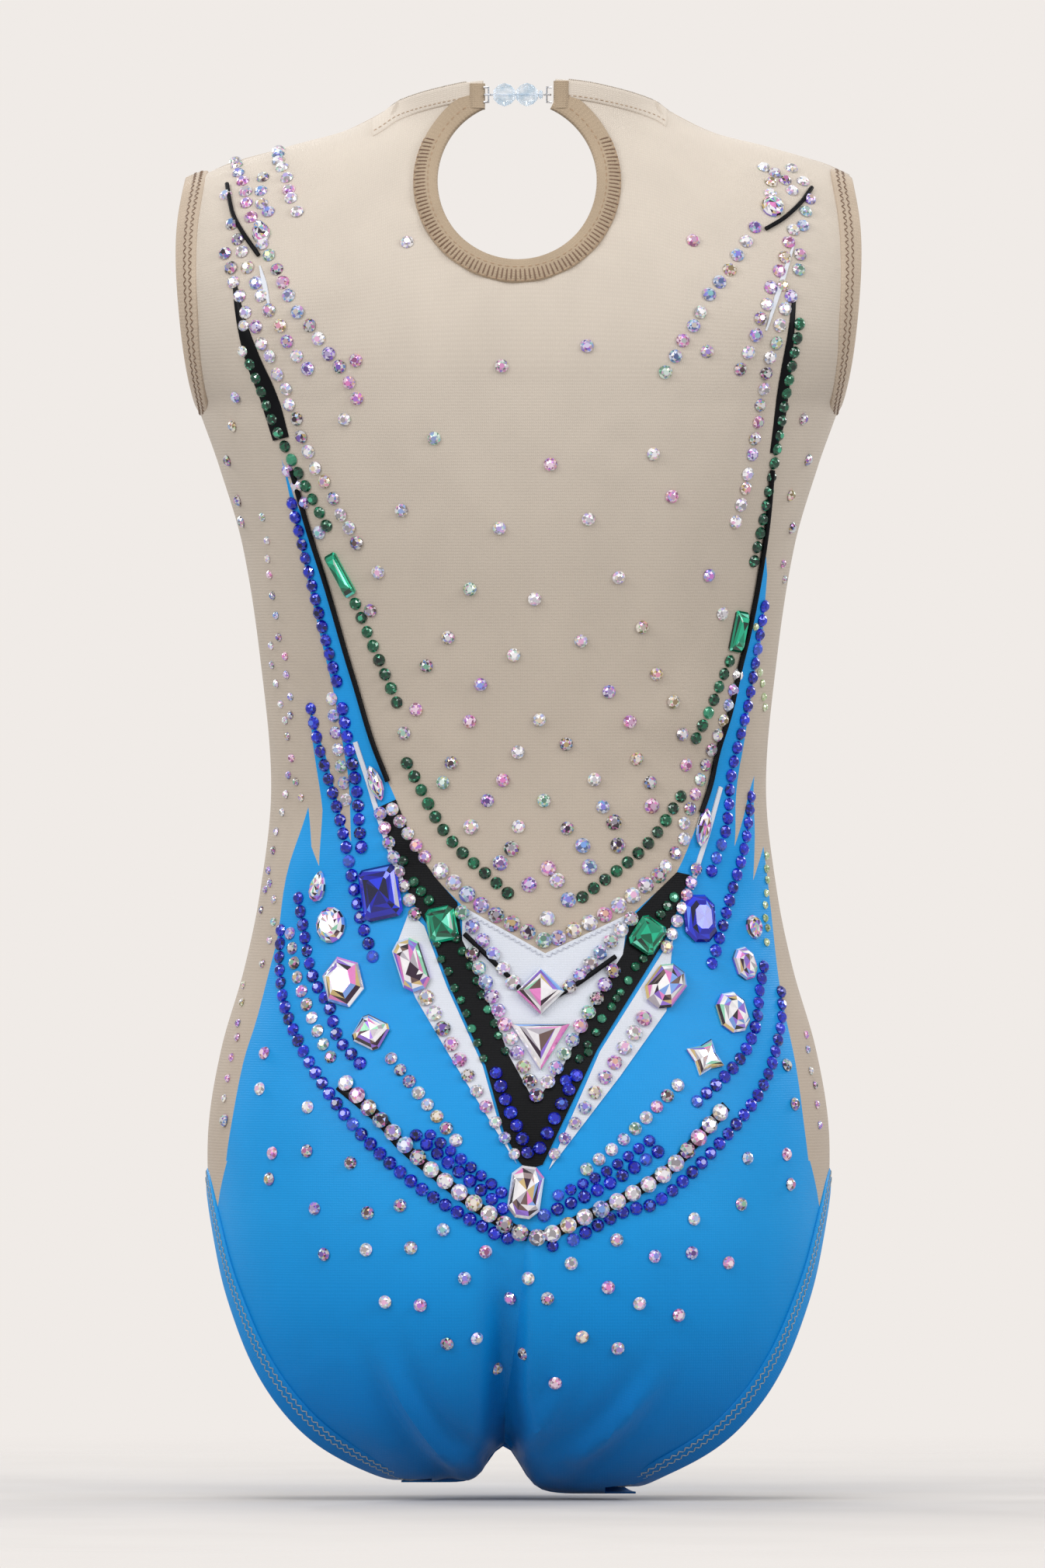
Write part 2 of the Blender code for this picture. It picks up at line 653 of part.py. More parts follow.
def build_front(looks):
    seam = [(-60, GUSSET_SEAM + GAP), (-60, -40), (60, -40), (60, GUSSET_SEAM + GAP)]
    gusset_cut = cutter("gusset_seam", seam, 0, 130)
    blue = front_blue_outline()
    upper = half_shell("front_mesh_panel", 1, *FRONT_GRID, looks["mesh"])
    boolean(upper, cutter("front_blue_hole", blue, 0, 130), "DIFFERENCE")
    boolean(upper, cutter("front_neckline", front_neck_outline(), 0, 130), "DIFFERENCE")
    for suffix, sign in (("_left", -1), ("_right", 1)):
        boolean(upper, arm_cutter("front_arm" + suffix, 1, sign), "DIFFERENCE")
    lower = half_shell("front_panel", 1, *FRONT_GRID, looks["blue"])
    boolean(lower, cutter("front_blue_outline", inset(blue, GAP), 0, 130), "INTERSECT")
    boolean(lower, gusset_cut, "DIFFERENCE")
    for suffix, sign in (("_left", -1), ("_right", 1)):
        boolean(lower, leg_cutter("front_leg" + suffix, 1, sign), "DIFFERENCE")


def gusset_point(across, back, half_sizes=GUSSET_HALF_WIDTHS):
    """Point of the gusset. Back runs from 0 at the front seam to 1 under the seat."""
    turn = 0.45
    stations = tuple(zip((0.0, 0.35, 0.6, 1.0), half_sizes))
    x = through(stations, back) * (2 * across - 1)
    if back < turn:
        z = FRONT_LOW + 0.02 + (GUSSET_SEAM - FRONT_LOW) * (1 - back / turn) ** 2
        return Vector((x, front_y(x, z), z))
    share = (back - turn) / (1 - turn)
    y = FRONT_UNDER_Y - (FRONT_UNDER_Y + UNDER_Y - GAP) * share
    low = seat_low(x)
    return Vector((x, y, FRONT_LOW + (low - FRONT_LOW) * smooth_step(share)))


def build_gusset(looks):
    inside_hems = tuple(width - HEM_WIDTH - 2.0 for width in GUSSET_HALF_WIDTHS)
    outer = grid_mesh(10, 10, lambda across, up: gusset_point(across, up, inside_hems))
    thicken(add_object("crotch_gusset", finish_mesh("crotch_gusset", outer), looks["blue"]), CLOTH)
    rise = CLOTH + GAP + 1.6

    def lining(across, up):
        point = gusset_point(across, 0.3 + 0.42 * up, (17, 17, 17, 17))
        return point + Vector((0, 0, rise))

    inner = grid_mesh(6, 6, lining)
    thicken(add_object("gusset_lining", finish_mesh("gusset_lining", inner), looks["lining"]), APPLIQUE)


# ---------------------------------------------------------------- bindings and elastics


def bind(names, path, width, closed, look, elastic_look):
    """Binding and the elastic inside it, along a path."""
    binding, elastic = names
    sweep(binding, path, binding_section(width), closed, look)
    inner = path if closed else path[3:-3]
    sweep(elastic, inner, elastic_section(width), closed, elastic_look)


def keyhole_frames():
    angles = [TAB_ANGLE + (2 * math.pi - 2 * TAB_ANGLE) * i / 30 for i in range(31)]
    radius = KEYHOLE_RADIUS - 0.1
    places = [(KEYHOLE_X - radius * math.sin(a), KEYHOLE_Z + radius * math.cos(a)) for a in angles]
    points = [on_form(x, z) for x, z in places]
    normals = relaxed([outward(x, z, -1) for x, z in places], False, 3)
    centre = Vector((KEYHOLE_X, 0, KEYHOLE_Z))
    return frames_along(points, normals, lambda p: Vector((p.x - centre.x, 0, p.z - centre.z)), False)


def armhole_frames(sign):
    """Ring round the armhole: up the back edge, over the shoulder and down the front edge."""
    points, normals = [], []
    for side in (-1, 1):
        for i in range(ARM_FRAMES):
            share = (i + 0.5) / ARM_FRAMES
            angle = math.pi * (share if side < 0 else 1 - share)
            z = ARMHOLE_BOTTOM + (ARMHOLE_TOP - ARMHOLE_BOTTOM) * (0.5 - 0.5 * math.cos(angle)) - 0.2
            x = sign * (half_width(z) - 0.05)
            points.append(Vector((x, surface(side)(x, z), z)))
            normals.append(outward(x, z, side))
    normals = relaxed(normals, True)
    middle = Vector((0, 0, (ARMHOLE_BOTTOM + ARMHOLE_TOP) / 2))

    def away(point):
        return Vector((-sign * 40.0, point.y, point.z - middle.z))

    return frames_along(points, normals, away, True)


def leg_frames(sign):
    """Ring round the leg opening: down the back hem, along the gusset and up the front hem."""
    points, normals = [], []
    for x, z in spline(BACK_HEM, 2):
        points.append(on_form(sign * x, z))
        normals.append(outward(sign * x, z, -1))
    for i in range(9):
        back = 0.94 - 0.88 * i / 8
        edge = 1.0 if sign > 0 else 0.0
        point = gusset_point(edge, back)
        points.append(point)
        normals.append(Vector((0, 0.35 * (1 - back), -1)).normalized())
    for x, z in reversed(spline(FRONT_HEM, 2)[1:]):
        points.append(on_form(sign * x, z, 1))
        normals.append(outward(sign * x, z, 1))
    points = evened(points, 2)
    normals = relaxed(normals, True, 4)
    centre = Vector((sign * 112, -2, 50))
    return frames_along(points, normals, lambda p: p - centre, True)


def neck_frames():
    """Neck edge from the left tab round the front scoop to the right tab."""
    back = [(offset, shoulder_height(SHOULDER_SHIFT + offset) - 1.0) for offset in (28, 34, 40, 45, 49)]
    points, normals = [], []
    for offset, z in back:
        points.append(on_form(SHOULDER_SHIFT - offset, z))
        normals.append(outward(SHOULDER_SHIFT - offset, z, -1))
    for x, z in reversed(front_neck_arc()):
        points.append(on_form(x, z, 1))
        normals.append(outward(x, z - 2.0, 1))
    for offset, z in reversed(back):
        points.append(on_form(SHOULDER_SHIFT + offset, z))
        normals.append(outward(SHOULDER_SHIFT + offset, z, -1))
    for _ in range(5):
        inner = [(a + b * 2 + c) / 4 for a, b, c in zip(points, points[1:], points[2:])]
        points = [points[0]] + inner + [points[-1]]
    points = spline(points, 2)
    normals = relaxed(spline(normals, 2), False, 16)
    centre = Vector((SHOULDER_SHIFT, 0, NECK_SIDE_Z + 25))
    return frames_along(points, normals, lambda p: p - centre, False)


def build_bindings(looks):
    """Every binding with its elastic."""
    tan, elastic, blue = looks["tan"], looks["elastic"], looks["blue"]
    bind(("keyhole_binding", "keyhole_elastic"), keyhole_frames(), KEYHOLE_BINDING_WIDTH, False, tan, elastic)
    bind(("neck_binding", "neck_elastic"), neck_frames(), NECK_BINDING_WIDTH, False, tan, elastic)
    for suffix, sign in (("_left", -1), ("_right", 1)):
        path = armhole_frames(sign)
        bind(("armhole_binding" + suffix, "armhole_elastic" + suffix), path, ARM_BINDING_WIDTH, True, tan, elastic)
        path = leg_frames(sign)
        bind(("leg_hem" + suffix, "leg_elastic" + suffix), path, HEM_WIDTH, True, blue, elastic)


# ---------------------------------------------------------------- appliques


def build_appliques(looks):
    black_v = (list(V_LEFT_OUTER) + list(V_TIP) + list(V_RIGHT_OUTER) + list(V_RIGHT_INNER) + [V_INNER_POINT]
               + list(V_LEFT_INNER))
    patch("black_v_band", inset(black_v, 0.1), looks["black"])
    insert = list(INSERT_TOP) + list(V_RIGHT_INNER[3:]) + [V_INNER_POINT] + list(V_LEFT_INNER[:3])
    patch("white_insert", inset(insert, 0.6), looks["white"])
    patch("white_stripe_left", inset(WHITE_LEFT_STRIPE, 0.3), looks["white"])
    patch("white_stripe_right", inset(WHITE_RIGHT_STRIPE, 0.3), looks["white"])
    chevron = [on_form(x, z, -1, LAYER_ONE + APPLIQUE / 2 + GAP + CORD_RADIUS) for x, z in CHEVRON]
    cord("chevron_cord", chevron, CORD_RADIUS * 0.8, looks["black"], 2)
    surface_cord("black_cord_left", LEFT_CORD, looks["black"])
    surface_cord("black_cord_right", RIGHT_CORD, looks["black"])
    surface_cord("shoulder_cord_left", LEFT_SHOULDER_CORD, looks["black"], 0.9)
    surface_cord("shoulder_cord_right", RIGHT_SHOULDER_CORD, looks["black"], 0.9)
    ribbon("black_strap_left", LEFT_STRAP, LEFT_STRAP_WIDTH, looks["black"], lift=STRAP_LIFT)
    ribbon("black_strap_right", RIGHT_STRAP, RIGHT_STRAP_WIDTH, looks["black"], lift=STRAP_LIFT)
    ribbon("arc_band_left", LEFT_ARC[:-1], ARC_WIDTH, looks["black"], steps=2)
    ribbon("arc_band_right", RIGHT_ARC[:-1], ARC_WIDTH, looks["black"], steps=2)
    for suffix, sign in (("_left", -1), ("_right", 1)):
        strap = [(sign * x, z) for x, z in FRONT_STRAP]
        ribbon("front_strap" + suffix, strap, FRONT_STRAP_WIDTH, looks["black"], 1)
    neckline = [(x, z - 5) for x, z in FRONT_V]
    band = neckline + [(-x, z) for x, z in reversed(neckline[:-1])]
    ribbon("front_v_band", band, FRONT_V_WIDTH, looks["black"], 1)


# ---------------------------------------------------------------- large sew-on stones


def polygon(count, width, height, turn=0.5):
    steps = [2 * math.pi * (i + turn) / count for i in range(count)]
    reach = math.cos(math.pi / count) if turn else 1.0
    return [Vector((0.5 * width * math.cos(a) / reach, 0.5 * height * math.sin(a) / reach)) for a in steps]


def cut_rectangle(width, height, corner=0.28):
    """Rectangle with cut corners."""
    w, h, c = width / 2, height / 2, corner * min(width, height)
    return [Vector(p) for p in ((w, h - c), (w - c, h), (c - w, h), (-w, h - c), (-w, c - h), (c - w, -h),
                                (w - c, -h), (w, c - h))]


def star(size):
    """Four-pointed star with bowed sides."""
    reach = [0.5 * size if i % 2 else 0.3 * size for i in range(8)]
    return [Vector((r * math.cos(i * math.pi / 4), r * math.sin(i * math.pi / 4))) for i, r in enumerate(reach)]


def stone(name, outline, at, height, look, degrees=0.0, side=-1, over=APPLIQUE + GAP):
    """Flat-backed faceted stone set on the cloth at (x, z), with its crown facing out."""
    x, z = at
    normal = outward(x, z, side)
    up = (Vector((0, 0, 1)) - normal * normal.z).normalized()
    right = up.cross(normal).normalized()
    angle = math.radians(degrees)
    axis_u = right * math.cos(angle) + up * math.sin(angle)
    axis_v = up * math.cos(angle) - right * math.sin(angle)
    base = on_form(x, z, side)
    rims = [base + axis_u * p.x + axis_v * p.y for p in outline]
    bulge = max(0.0, max((on_form(r.x, r.z, side) - r).dot(normal) for r in rims))
    floor = base + normal * (CLOTH / 2 + over + GAP + bulge + 0.15)
    levels = ((0.0, 0.97), (0.3, 1.0), (0.62, 0.86), (1.0, 0.55))
    bm = bmesh.new()
    rings = [[bm.verts.new(floor + normal * height * share + (axis_u * p.x + axis_v * p.y) * scale)
              for p in outline] for share, scale in levels]
    count = len(outline)
    for low, high in zip(rings, rings[1:]):
        for i in range(count):
            bm.faces.new((low[i], low[(i + 1) % count], high[(i + 1) % count], high[i]))
    bm.faces.new(rings[0])
    bm.faces.new(rings[-1])
    bmesh.ops.triangulate(bm, faces=[f for f in bm.faces if len(f.verts) > 4])
    obj = add_object(name, finish_mesh(name, bm), look)
    obj.data.shade_flat()
    return obj


def build_stones(looks):
    crystal, blue, green = looks["crystal"], looks["sapphire"], looks["emerald"]
    stone("stone_square", polygon(4, 12, 12), (7.7, 177.5), 3.6, crystal, 45, over=2 * CORD_RADIUS + 2.2)
    stone("stone_triangle", [Vector((-10.4, 5)), Vector((10.4, 5)), Vector((0, -12.2))], (7.7, 161.5), 3.4, crystal)
    stone("stone_v_tip", cut_rectangle(11.5, 18.5), (2.5, 107.5), 4.0, crystal, -8)
    stone("stone_emerald_left", cut_rectangle(10.5, 12.6), (-26.9, 201.4), 3.6, green, 12)
    stone("stone_emerald_right", cut_rectangle(10.5, 12.6), (45.3, 197.5), 3.6, green, -35)
    stone("stone_crystal_left", cut_rectangle(10, 19.5), (-37.6, 187), 3.8, crystal, 20)
    stone("stone_crystal_right", cut_rectangle(12, 17), (51.5, 179.5), 3.8, crystal, -40)
    stone("stone_sapphire_left", cut_rectangle(14.5, 19, 0.12), (-48.5, 212.5), 4.0, blue, 12)
    stone("stone_sapphire_right", cut_rectangle(12.5, 17), (63.7, 203.5), 4.0, blue, 0)
    stone("stone_hex_left", polygon(6, 14, 17), (-61.5, 181), 3.8, crystal, 20)
    stone("stone_lilac_right", cut_rectangle(12, 14.5), (75.3, 170.3), 3.8, crystal, 8)
    stone("stone_star_right", star(15), (65.6, 154.6), 3.4, crystal, 20)
    stone("stone_baguette_left", cut_rectangle(4.6, 16.5, 0.1), (-62.6, 325), 3.0, green, 27)
    stone("stone_baguette_right", cut_rectangle(6, 14.5, 0.1), (77.7, 305), 3.0, green, -8)


# ---------------------------------------------------------------- inner pieces


def build_inner(looks):
    """Shoulder seam tapes with flat undersides, and a blank label in the left side seam."""
    for suffix, sign in (("_left", -1), ("_right", 1)):
        inner_x, outer_x = sign * 61 + SHOULDER_SHIFT, sign * 104 + SHOULDER_SHIFT
        ends = [Vector((x, 0, shoulder_height(x) - 6.5)) for x in (inner_x, outer_x)]
        along = (ends[1] - ends[0]).normalized()
        down = Vector((along.z * sign, 0, -along.x * sign)).normalized()
        frames = [(end, Vector((0, 1, 0)), down) for end in ends]
        sweep("shoulder_tape" + suffix, frames, ((-4, 0), (4, 0), (4, 1.0), (-4, 1.0)), False, looks["elastic"])
    x = -86.0
    frames = [(Vector((x, y, 262)), Vector((0, 0, -1)), Vector((1, 0, 0))) for y in (-11, 11)]
    sweep("care_label", frames, ((0, 4), (30, 6), (30, 6.5), (0, 4.5)), False, looks["white"])


# ---------------------------------------------------------------- closure at the nape


def closure_y():
    return back_y(EYE_X, CLOSURE_Z)


def bead(name, centre_x, length, height, thickness, sides, look, leaf=False):
    """Faceted bead with a round hole along X, turned on the closure core."""
    bm = bmesh.new()
    middle = Vector((centre_x, closure_y(), CLOSURE_Z))
    shares = (-0.5, -0.28, 0.0, 0.28, 0.5)
    sizes = (0.36, 0.8, 1.0, 0.8, 0.36) if leaf else (0.55, 0.9, 1.0, 0.9, 0.55)
    rings = []
    for share, size in zip(shares, sizes):
        ring = []
        for i in range(sides):
            angle = 2 * math.pi * (i + 0.5) / sides
            offset = Vector((share * length, 0.5 * thickness * size * math.cos(angle),
                             0.5 * height * size * math.sin(angle)))
            ring.append(bm.verts.new(middle + offset))
        rings.append(ring)
    for share in (0.5, -0.5):
        hole = []
        for i in range(sides):
            angle = 2 * math.pi * (i + 0.5) / sides
            offset = Vector((share * length, BEAD_HOLE * math.cos(angle), BEAD_HOLE * math.sin(angle)))
            hole.append(bm.verts.new(middle + offset))
        rings.append(hole)
    for near, far in zip(rings, rings[1:] + rings[:1]):
        for i in range(sides):
            bm.faces.new((near[i], near[(i + 1) % sides], far[(i + 1) % sides], far[i]))
    obj = add_object(name, finish_mesh(name, bm), look)
    obj.data.shade_flat()
    return move_origin(obj, middle)


def bar(name, x, reach, look):
    """U-shaped wire with its upright at x and its legs reaching to the tab."""
    middle = Vector((x, closure_y(), CLOSURE_Z))
    up, out = Vector((0, 0, BAR_HALF_HEIGHT)), Vector((reach, 0, 0))
    cord(name, [middle + up + out, middle + up, middle - up, middle - up + out], BAR_RADIUS, look, 1)


def build_closure(looks):
    """Bead strand: an eye of its core turns on the anchor bar, and its hook lies over the eye bar."""
    steel, crystal = looks["steel"], looks["crystal"]
    bar("anchor_bar", HINGE_X, -BAR_REACH, steel)
    bar("eye_bar", EYE_X, BAR_REACH, steel)
    centre = Vector((HINGE_X, closure_y(), CLOSURE_Z))
    angles = [math.radians(25 + 33 * i) for i in range(9)]
    eye = [centre + Vector((RING_RADIUS * math.cos(a), RING_RADIUS * math.sin(a), 0)) for a in angles]
    end = SMALL_BEAD_X + SMALL_BEAD_LENGTH / 2 - HINGE_X
    shank = [centre + Vector((distance, 0, 0)) for distance in (end, RING_RADIUS + 0.45)]
    core = cord("closure_core", shank + eye, CORE_RADIUS, looks["white"], 1)
    move_origin(core, centre)
    round_bar = BAR_RADIUS + CORE_RADIUS + GAP + 0.02
    offset = EYE_X - HINGE_X
    hook = [(end + CORE_RADIUS / 2 + GAP - offset, 0), (-0.75, -round_bar + 0.2), (0, -round_bar),
            (round_bar - 0.25, -round_bar + 0.1), (round_bar, -0.4), (round_bar, 0.9)]
    end_hook = cord("closure_hook", [centre + Vector((offset + x, y, 0)) for x, y in hook], CORE_RADIUS, steel, 1)
    move_origin(end_hook, centre)
    size = (LARGE_BEAD_LENGTH, LARGE_BEAD_HEIGHT, LARGE_BEAD_THICKNESS)
    bead("bead_large_left", LARGE_BEAD_LEFT_X, *size, 8, crystal, True)
    bead("bead_large_right", LARGE_BEAD_RIGHT_X, *size, 8, crystal, True)
    bead("bead_small", SMALL_BEAD_X, SMALL_BEAD_LENGTH, SMALL_BEAD_SIZE, SMALL_BEAD_SIZE, 8, crystal)


def build_part():
    looks = {
        "mesh": material("nude_stretch_mesh", NUDE, 0.75),
        "blue": material("blue_lycra", BLUE, 0.45),
        "black": material("black_lycra", BLACK, 0.5),
        "white": material("white_lycra", WHITE, 0.5),
        "tan": material("nude_binding", TAN, 0.8),
        "lining": material("lining", (0.75, 0.66, 0.55), 0.8),
        "elastic": material("elastic", (0.8, 0.78, 0.72), 0.7),
        "crystal": material("crystal", CRYSTAL, 0.08, 0.2),
        "sapphire": material("sapphire_glass", SAPPHIRE, 0.08, 0.1),
        "emerald": material("emerald_glass", EMERALD, 0.08, 0.1),
        "steel": material("steel", STEEL, 0.3, 1.0),
    }
    build_back(looks)
    build_front(looks)
    build_gusset(looks)
    build_bindings(looks)
    build_appliques(looks)
    build_stones(looks)
    build_inner(looks)
    build_closure(looks)


build_part()
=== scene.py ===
"""Looks of a sleeveless gymnastics leotard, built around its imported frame.

Lengths are in millimetres, measured from the plane of the side seams, with the back of the garment facing -Y.
ORIGIN and MM turn them into metres in the frame. A place on the cloth is given as (x, z) and a side, -1 for
the back and 1 for the front.
"""

import math
import random

import bpy
import numpy as np
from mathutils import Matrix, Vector, geometry, kdtree


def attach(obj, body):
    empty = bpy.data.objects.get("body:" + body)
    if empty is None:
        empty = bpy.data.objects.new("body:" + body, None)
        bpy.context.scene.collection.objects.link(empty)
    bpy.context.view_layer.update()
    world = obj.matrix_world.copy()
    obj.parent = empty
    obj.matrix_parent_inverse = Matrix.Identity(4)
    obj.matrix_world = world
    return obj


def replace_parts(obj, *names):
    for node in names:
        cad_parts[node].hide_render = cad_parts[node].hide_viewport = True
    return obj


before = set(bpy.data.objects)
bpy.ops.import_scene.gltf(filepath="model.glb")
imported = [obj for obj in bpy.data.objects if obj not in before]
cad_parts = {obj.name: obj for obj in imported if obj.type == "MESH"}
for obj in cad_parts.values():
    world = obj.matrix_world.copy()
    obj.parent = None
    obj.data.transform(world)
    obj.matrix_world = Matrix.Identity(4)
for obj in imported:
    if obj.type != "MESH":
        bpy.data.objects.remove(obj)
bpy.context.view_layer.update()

MM = 0.001
ORIGIN = Vector((0.0, 7.06, 0.386))
GARMENT = "garment"

# Body form, as (height, value) stations, the same as the solids'.
HALF_WIDTH = ((-20, 108), (60, 109.5), (100, 110), (130, 110), (158, 105.3), (185, 97.5), (213, 91.7),
              (250, 87.8), (295, 91.6), (336, 98), (364, 106.3), (391, 115.4), (419, 119.5), (446, 120.5),
              (466, 117.5), (500, 112))
BACK_DEPTH = ((-20, 60), (35, 78), (85, 84), (130, 79), (185, 62), (240, 53), (300, 58), (360, 67), (410, 69),
              (460, 60), (505, 50))
FRONT_DEPTH = ((-20, 50), (40, 58), (90, 62), (150, 66), (200, 64), (250, 62), (310, 69), (355, 75),
               (405, 66),
               (460, 50), (505, 42))
SHOULDER_LINE = ((0, 501), (12, 500.5), (25, 498.8), (45, 493.5), (53, 488.5), (66, 482.3), (86, 476.8),
                 (105, 471.5), (118, 466), (145, 458))
SHOULDER_SHIFT = 3.0
POWER = 2.3
SHOULDER_START = 395.0
ARMHOLE_BOTTOM, ARMHOLE_TOP, ARMHOLE_FLARE = 386.0, 466.0, 0.19
NECK_HALF_WIDTH, NECK_BACK_DEPTH = 51.0, 39.0
SEAT_TURN, UNDER_Y = 76.0, 22.0
CLEFT_X, CLEFT_RISE, CLEFT_WIDTH = -5.0, 14.0, 7.5
CLEFT_DEPTH, CLEFT_TOP, CLEFT_FADE, CLEFT_GROOVE = 11.0, 105.0, 60.0, 6.5
NECK_BLEND = 6
LEFT_LOBE_RISE = 4.0
FRONT_TURN, FRONT_UNDER_Y, FRONT_LOW = 70.0, 10.0, 18.0
GUSSET_SEAM, SKIN = 30.0, 0.02
GUSSET_STATIONS = (0.0, 0.35, 0.6, 1.0)
GUSSET_HALF_WIDTHS = (34.5, 29.0, 29.0, 43.5)
GUSSET_COLUMNS, GUSSET_ROWS, GUSSET_PITCH = 30, 34, 2.2

# Lengths of the flat pattern: half a section, the turn under the seat and the turn over the shoulder.
FLAT_RADIUS = 110.0
SEAT_ARC, FRONT_ARC, SHOULDER_ARC = 100.0, 66.0, 116.0
HEM_STEPS, HEM_TUCK = 8, 2.0
LOBE_ROUND = (11.0, 3.6)
CLOTH = 0.7
CELL = 2.8
CORD_SIDES = 10
HALF_TURN = FLAT_RADIUS * math.pi / 2
BELOW_PATTERN = -60

# Openings and bindings.
KEYHOLE_X, KEYHOLE_Z, KEYHOLE_RADIUS = -0.5, 464.0, 28.8
TAB_ANGLE = 0.43
TAB_X, TAB_WIDTH, TAB_LOW, TAB_STEP, TAB_STEPS = 12.6, 4.6, 489.6, 0.9, 13
SIDE_OF_NECK, NECK_STEP = 53.0, 1.5
KEYHOLE_WIDTH, NECK_WIDTH, ARM_WIDTH, HEM_WIDTH = 8.0, 6.0, 8.0, 9.0
NECK_SIDE_Z, FRONT_NECK_LOW, FRONT_NECK_HALF = 488.0, 418.0, 50.0
BACK_HEM = ((110, 108), (109, 101), (107.4, 92), (104.2, 76), (99.7, 62), (94.2, 48), (86, 34), (74, 20.6),
            (60, 11.5), (44, 4.5))
FRONT_HEM = ((110, 108), (108.4, 100), (104, 89), (92, 70), (72, 52), (52, 40), (35, 30))
HIP_SEAM_Z = 118.0

# Edges of the blue seat.
SEAT_LEFT_EDGE = ((-103.4, 118), (-102, 128), (-97.5, 152), (-92, 170), (-85.5, 197), (-82, 218),
                  (-74.7, 243))
SEAT_LEFT_NOTCH = ((-73, 229), (-70, 222))
LEFT_OUTER_FLAME = ((-69.6, 242), (-74.2, 279.4))
LEFT_OUTER_FLAME_INSIDE = ((-68, 261), (-63.4, 242), (-58.8, 230.7))
LEFT_INNER_FLAME = ((-60.5, 255), (-63.4, 274), (-72, 312), (-78, 340), (-83.5, 366))
LEFT_NECKLINE = ((-79, 352), (-73.6, 339), (-67, 318), (-58.5, 288), (-51, 263), (-43.3, 245.6),
                 (-35.5, 226.8),
                 (-29, 217.7), (-19, 207.3))
NECKLINE_POINT = (9.4, 190.6)
RIGHT_NECKLINE = ((39.5, 204.7), (48.6, 212.9), (56, 220), (63, 238), (70.6, 263), (75.5, 280.5), (82, 309),
                  (86.8, 339))
RIGHT_FLAMES = ((87.8, 325), (86.5, 305), (82, 280), (78.5, 258), (76.8, 243), (75.9, 229), (80, 241),
                (83.8, 254), (83.4, 236), (83, 217), (86.6, 229))
SEAT_RIGHT_EDGE = ((89.7, 206), (91, 191), (93.2, 175), (98, 152), (101, 130), (102.5, 118))
CENTRE_SEAM = ((3.2, 96), (CLEFT_X, 30))

# Appliques.
V_LEFT_OUTER = ((-49, 243), (-44.6, 228.7), (-38, 210.6), (-32.5, 202), (-24.3, 180), (-11.6, 152),
                (-5.2, 129),
                (0.3, 118.2))
V_TIP = ((3, 115.5), (8.5, 117.3))
V_RIGHT_OUTER = ((27.6, 157.4), (51.3, 195.6), (55.9, 206.6), (60.5, 219))
V_RIGHT_INNER = ((56, 220), (48.6, 212.9), (39.5, 203.5), (36.7, 191), (30.3, 181), (15.8, 152))
V_INNER_POINT = (5.7, 139)
V_LEFT_INNER = ((-3.4, 155.5), (-15.2, 186.5), (-19.8, 196), (-21.6, 209.3), (-29, 217.7), (-35.5, 226.8),
                (-43.3, 245.6))
WHITE_LEFT_STRIPE = ((-38.5, 206), (-43.4, 193), (-36.2, 175.6), (-24.3, 155.5), (-0.6, 117.5), (-6.2, 129),
                     (-12.6, 151.8), (-25.3, 179.8), (-33.2, 201))
WHITE_RIGHT_STRIPE = ((54.3, 196), (52, 171), (35.8, 148.3), (10.6, 115.5), (28.6, 156.8), (52.2, 194))
INSERT_TOP = ((-19.8, 208), (9.4, 191.4), (38.6, 205.2))
CHEVRON = ((-19, 198), (-2.5, 182), (4.8, 174.5), (15.8, 177.4), (34, 190))
LEFT_CORD = ((-46.1, 252), (-51.1, 266), (-58.5, 290), (-67, 320), (-73.6, 341), (-79.5, 362))
RIGHT_CORD = ((63.8, 241), (67.9, 252), (70.6, 265), (75.5, 282), (82.1, 310), (86.8, 340), (89, 362))
LEFT_STRAP = ((-83.6, 373), (-87.5, 386), (-93.5, 401), (-98.4, 418), (-100.6, 430))
RIGHT_STRAP = ((89.6, 368), (92.3, 380), (94, 393), (96, 411), (97.5, 424))
LEFT_SHOULDER_CORD = ((-103, 463), (-101, 453), (-97.5, 446), (-91.7, 437.6))
RIGHT_SHOULDER_CORD = ((103.5, 461.5), (99.5, 456), (93.5, 450.5), (87.1, 446.7))
LEFT_ARC = ((-63, 145), (-49, 133.3), (-41, 124), (-28, 113), (-16, 103.5), (-4, 95.8), (3.4, 92.2))
RIGHT_ARC = ((73, 137.5), (62.4, 125.5), (53, 115.6), (38, 106), (24, 99.2), (12, 93.2), (5.6, 92))
FRONT_HIP = ((107.4, 92), (105.6, 107))
FRONT_BLUE_SIDE = ((103, 124), (94, 165), (84, 205), (78, 250), (80, 300), (87, 350), (93, 392))
FRONT_V = ((84, 366), (64, 335), (40, 306), (18, 288), (0, 281))
FRONT_STRAP = ((94, 398), (98.5, 415), (101.5, 432), (103.4, 448), (103.8, 459))

# Stones: radii, spacing in a row, heights over the cloth, and the least distance from the outline.
SMALL, MEDIUM, TINY = 2.35, 3.2, 1.5
FINE = SMALL * 0.9
STONE_GAP = 1.04
ON_CLOTH, ON_APPLIQUE, ON_BAND, ON_INSERT = 0.05, 0.62, 0.7, 0.9
EDGE_MARGIN = 1.6


# ---------------------------------------------------------------- curves and the body form


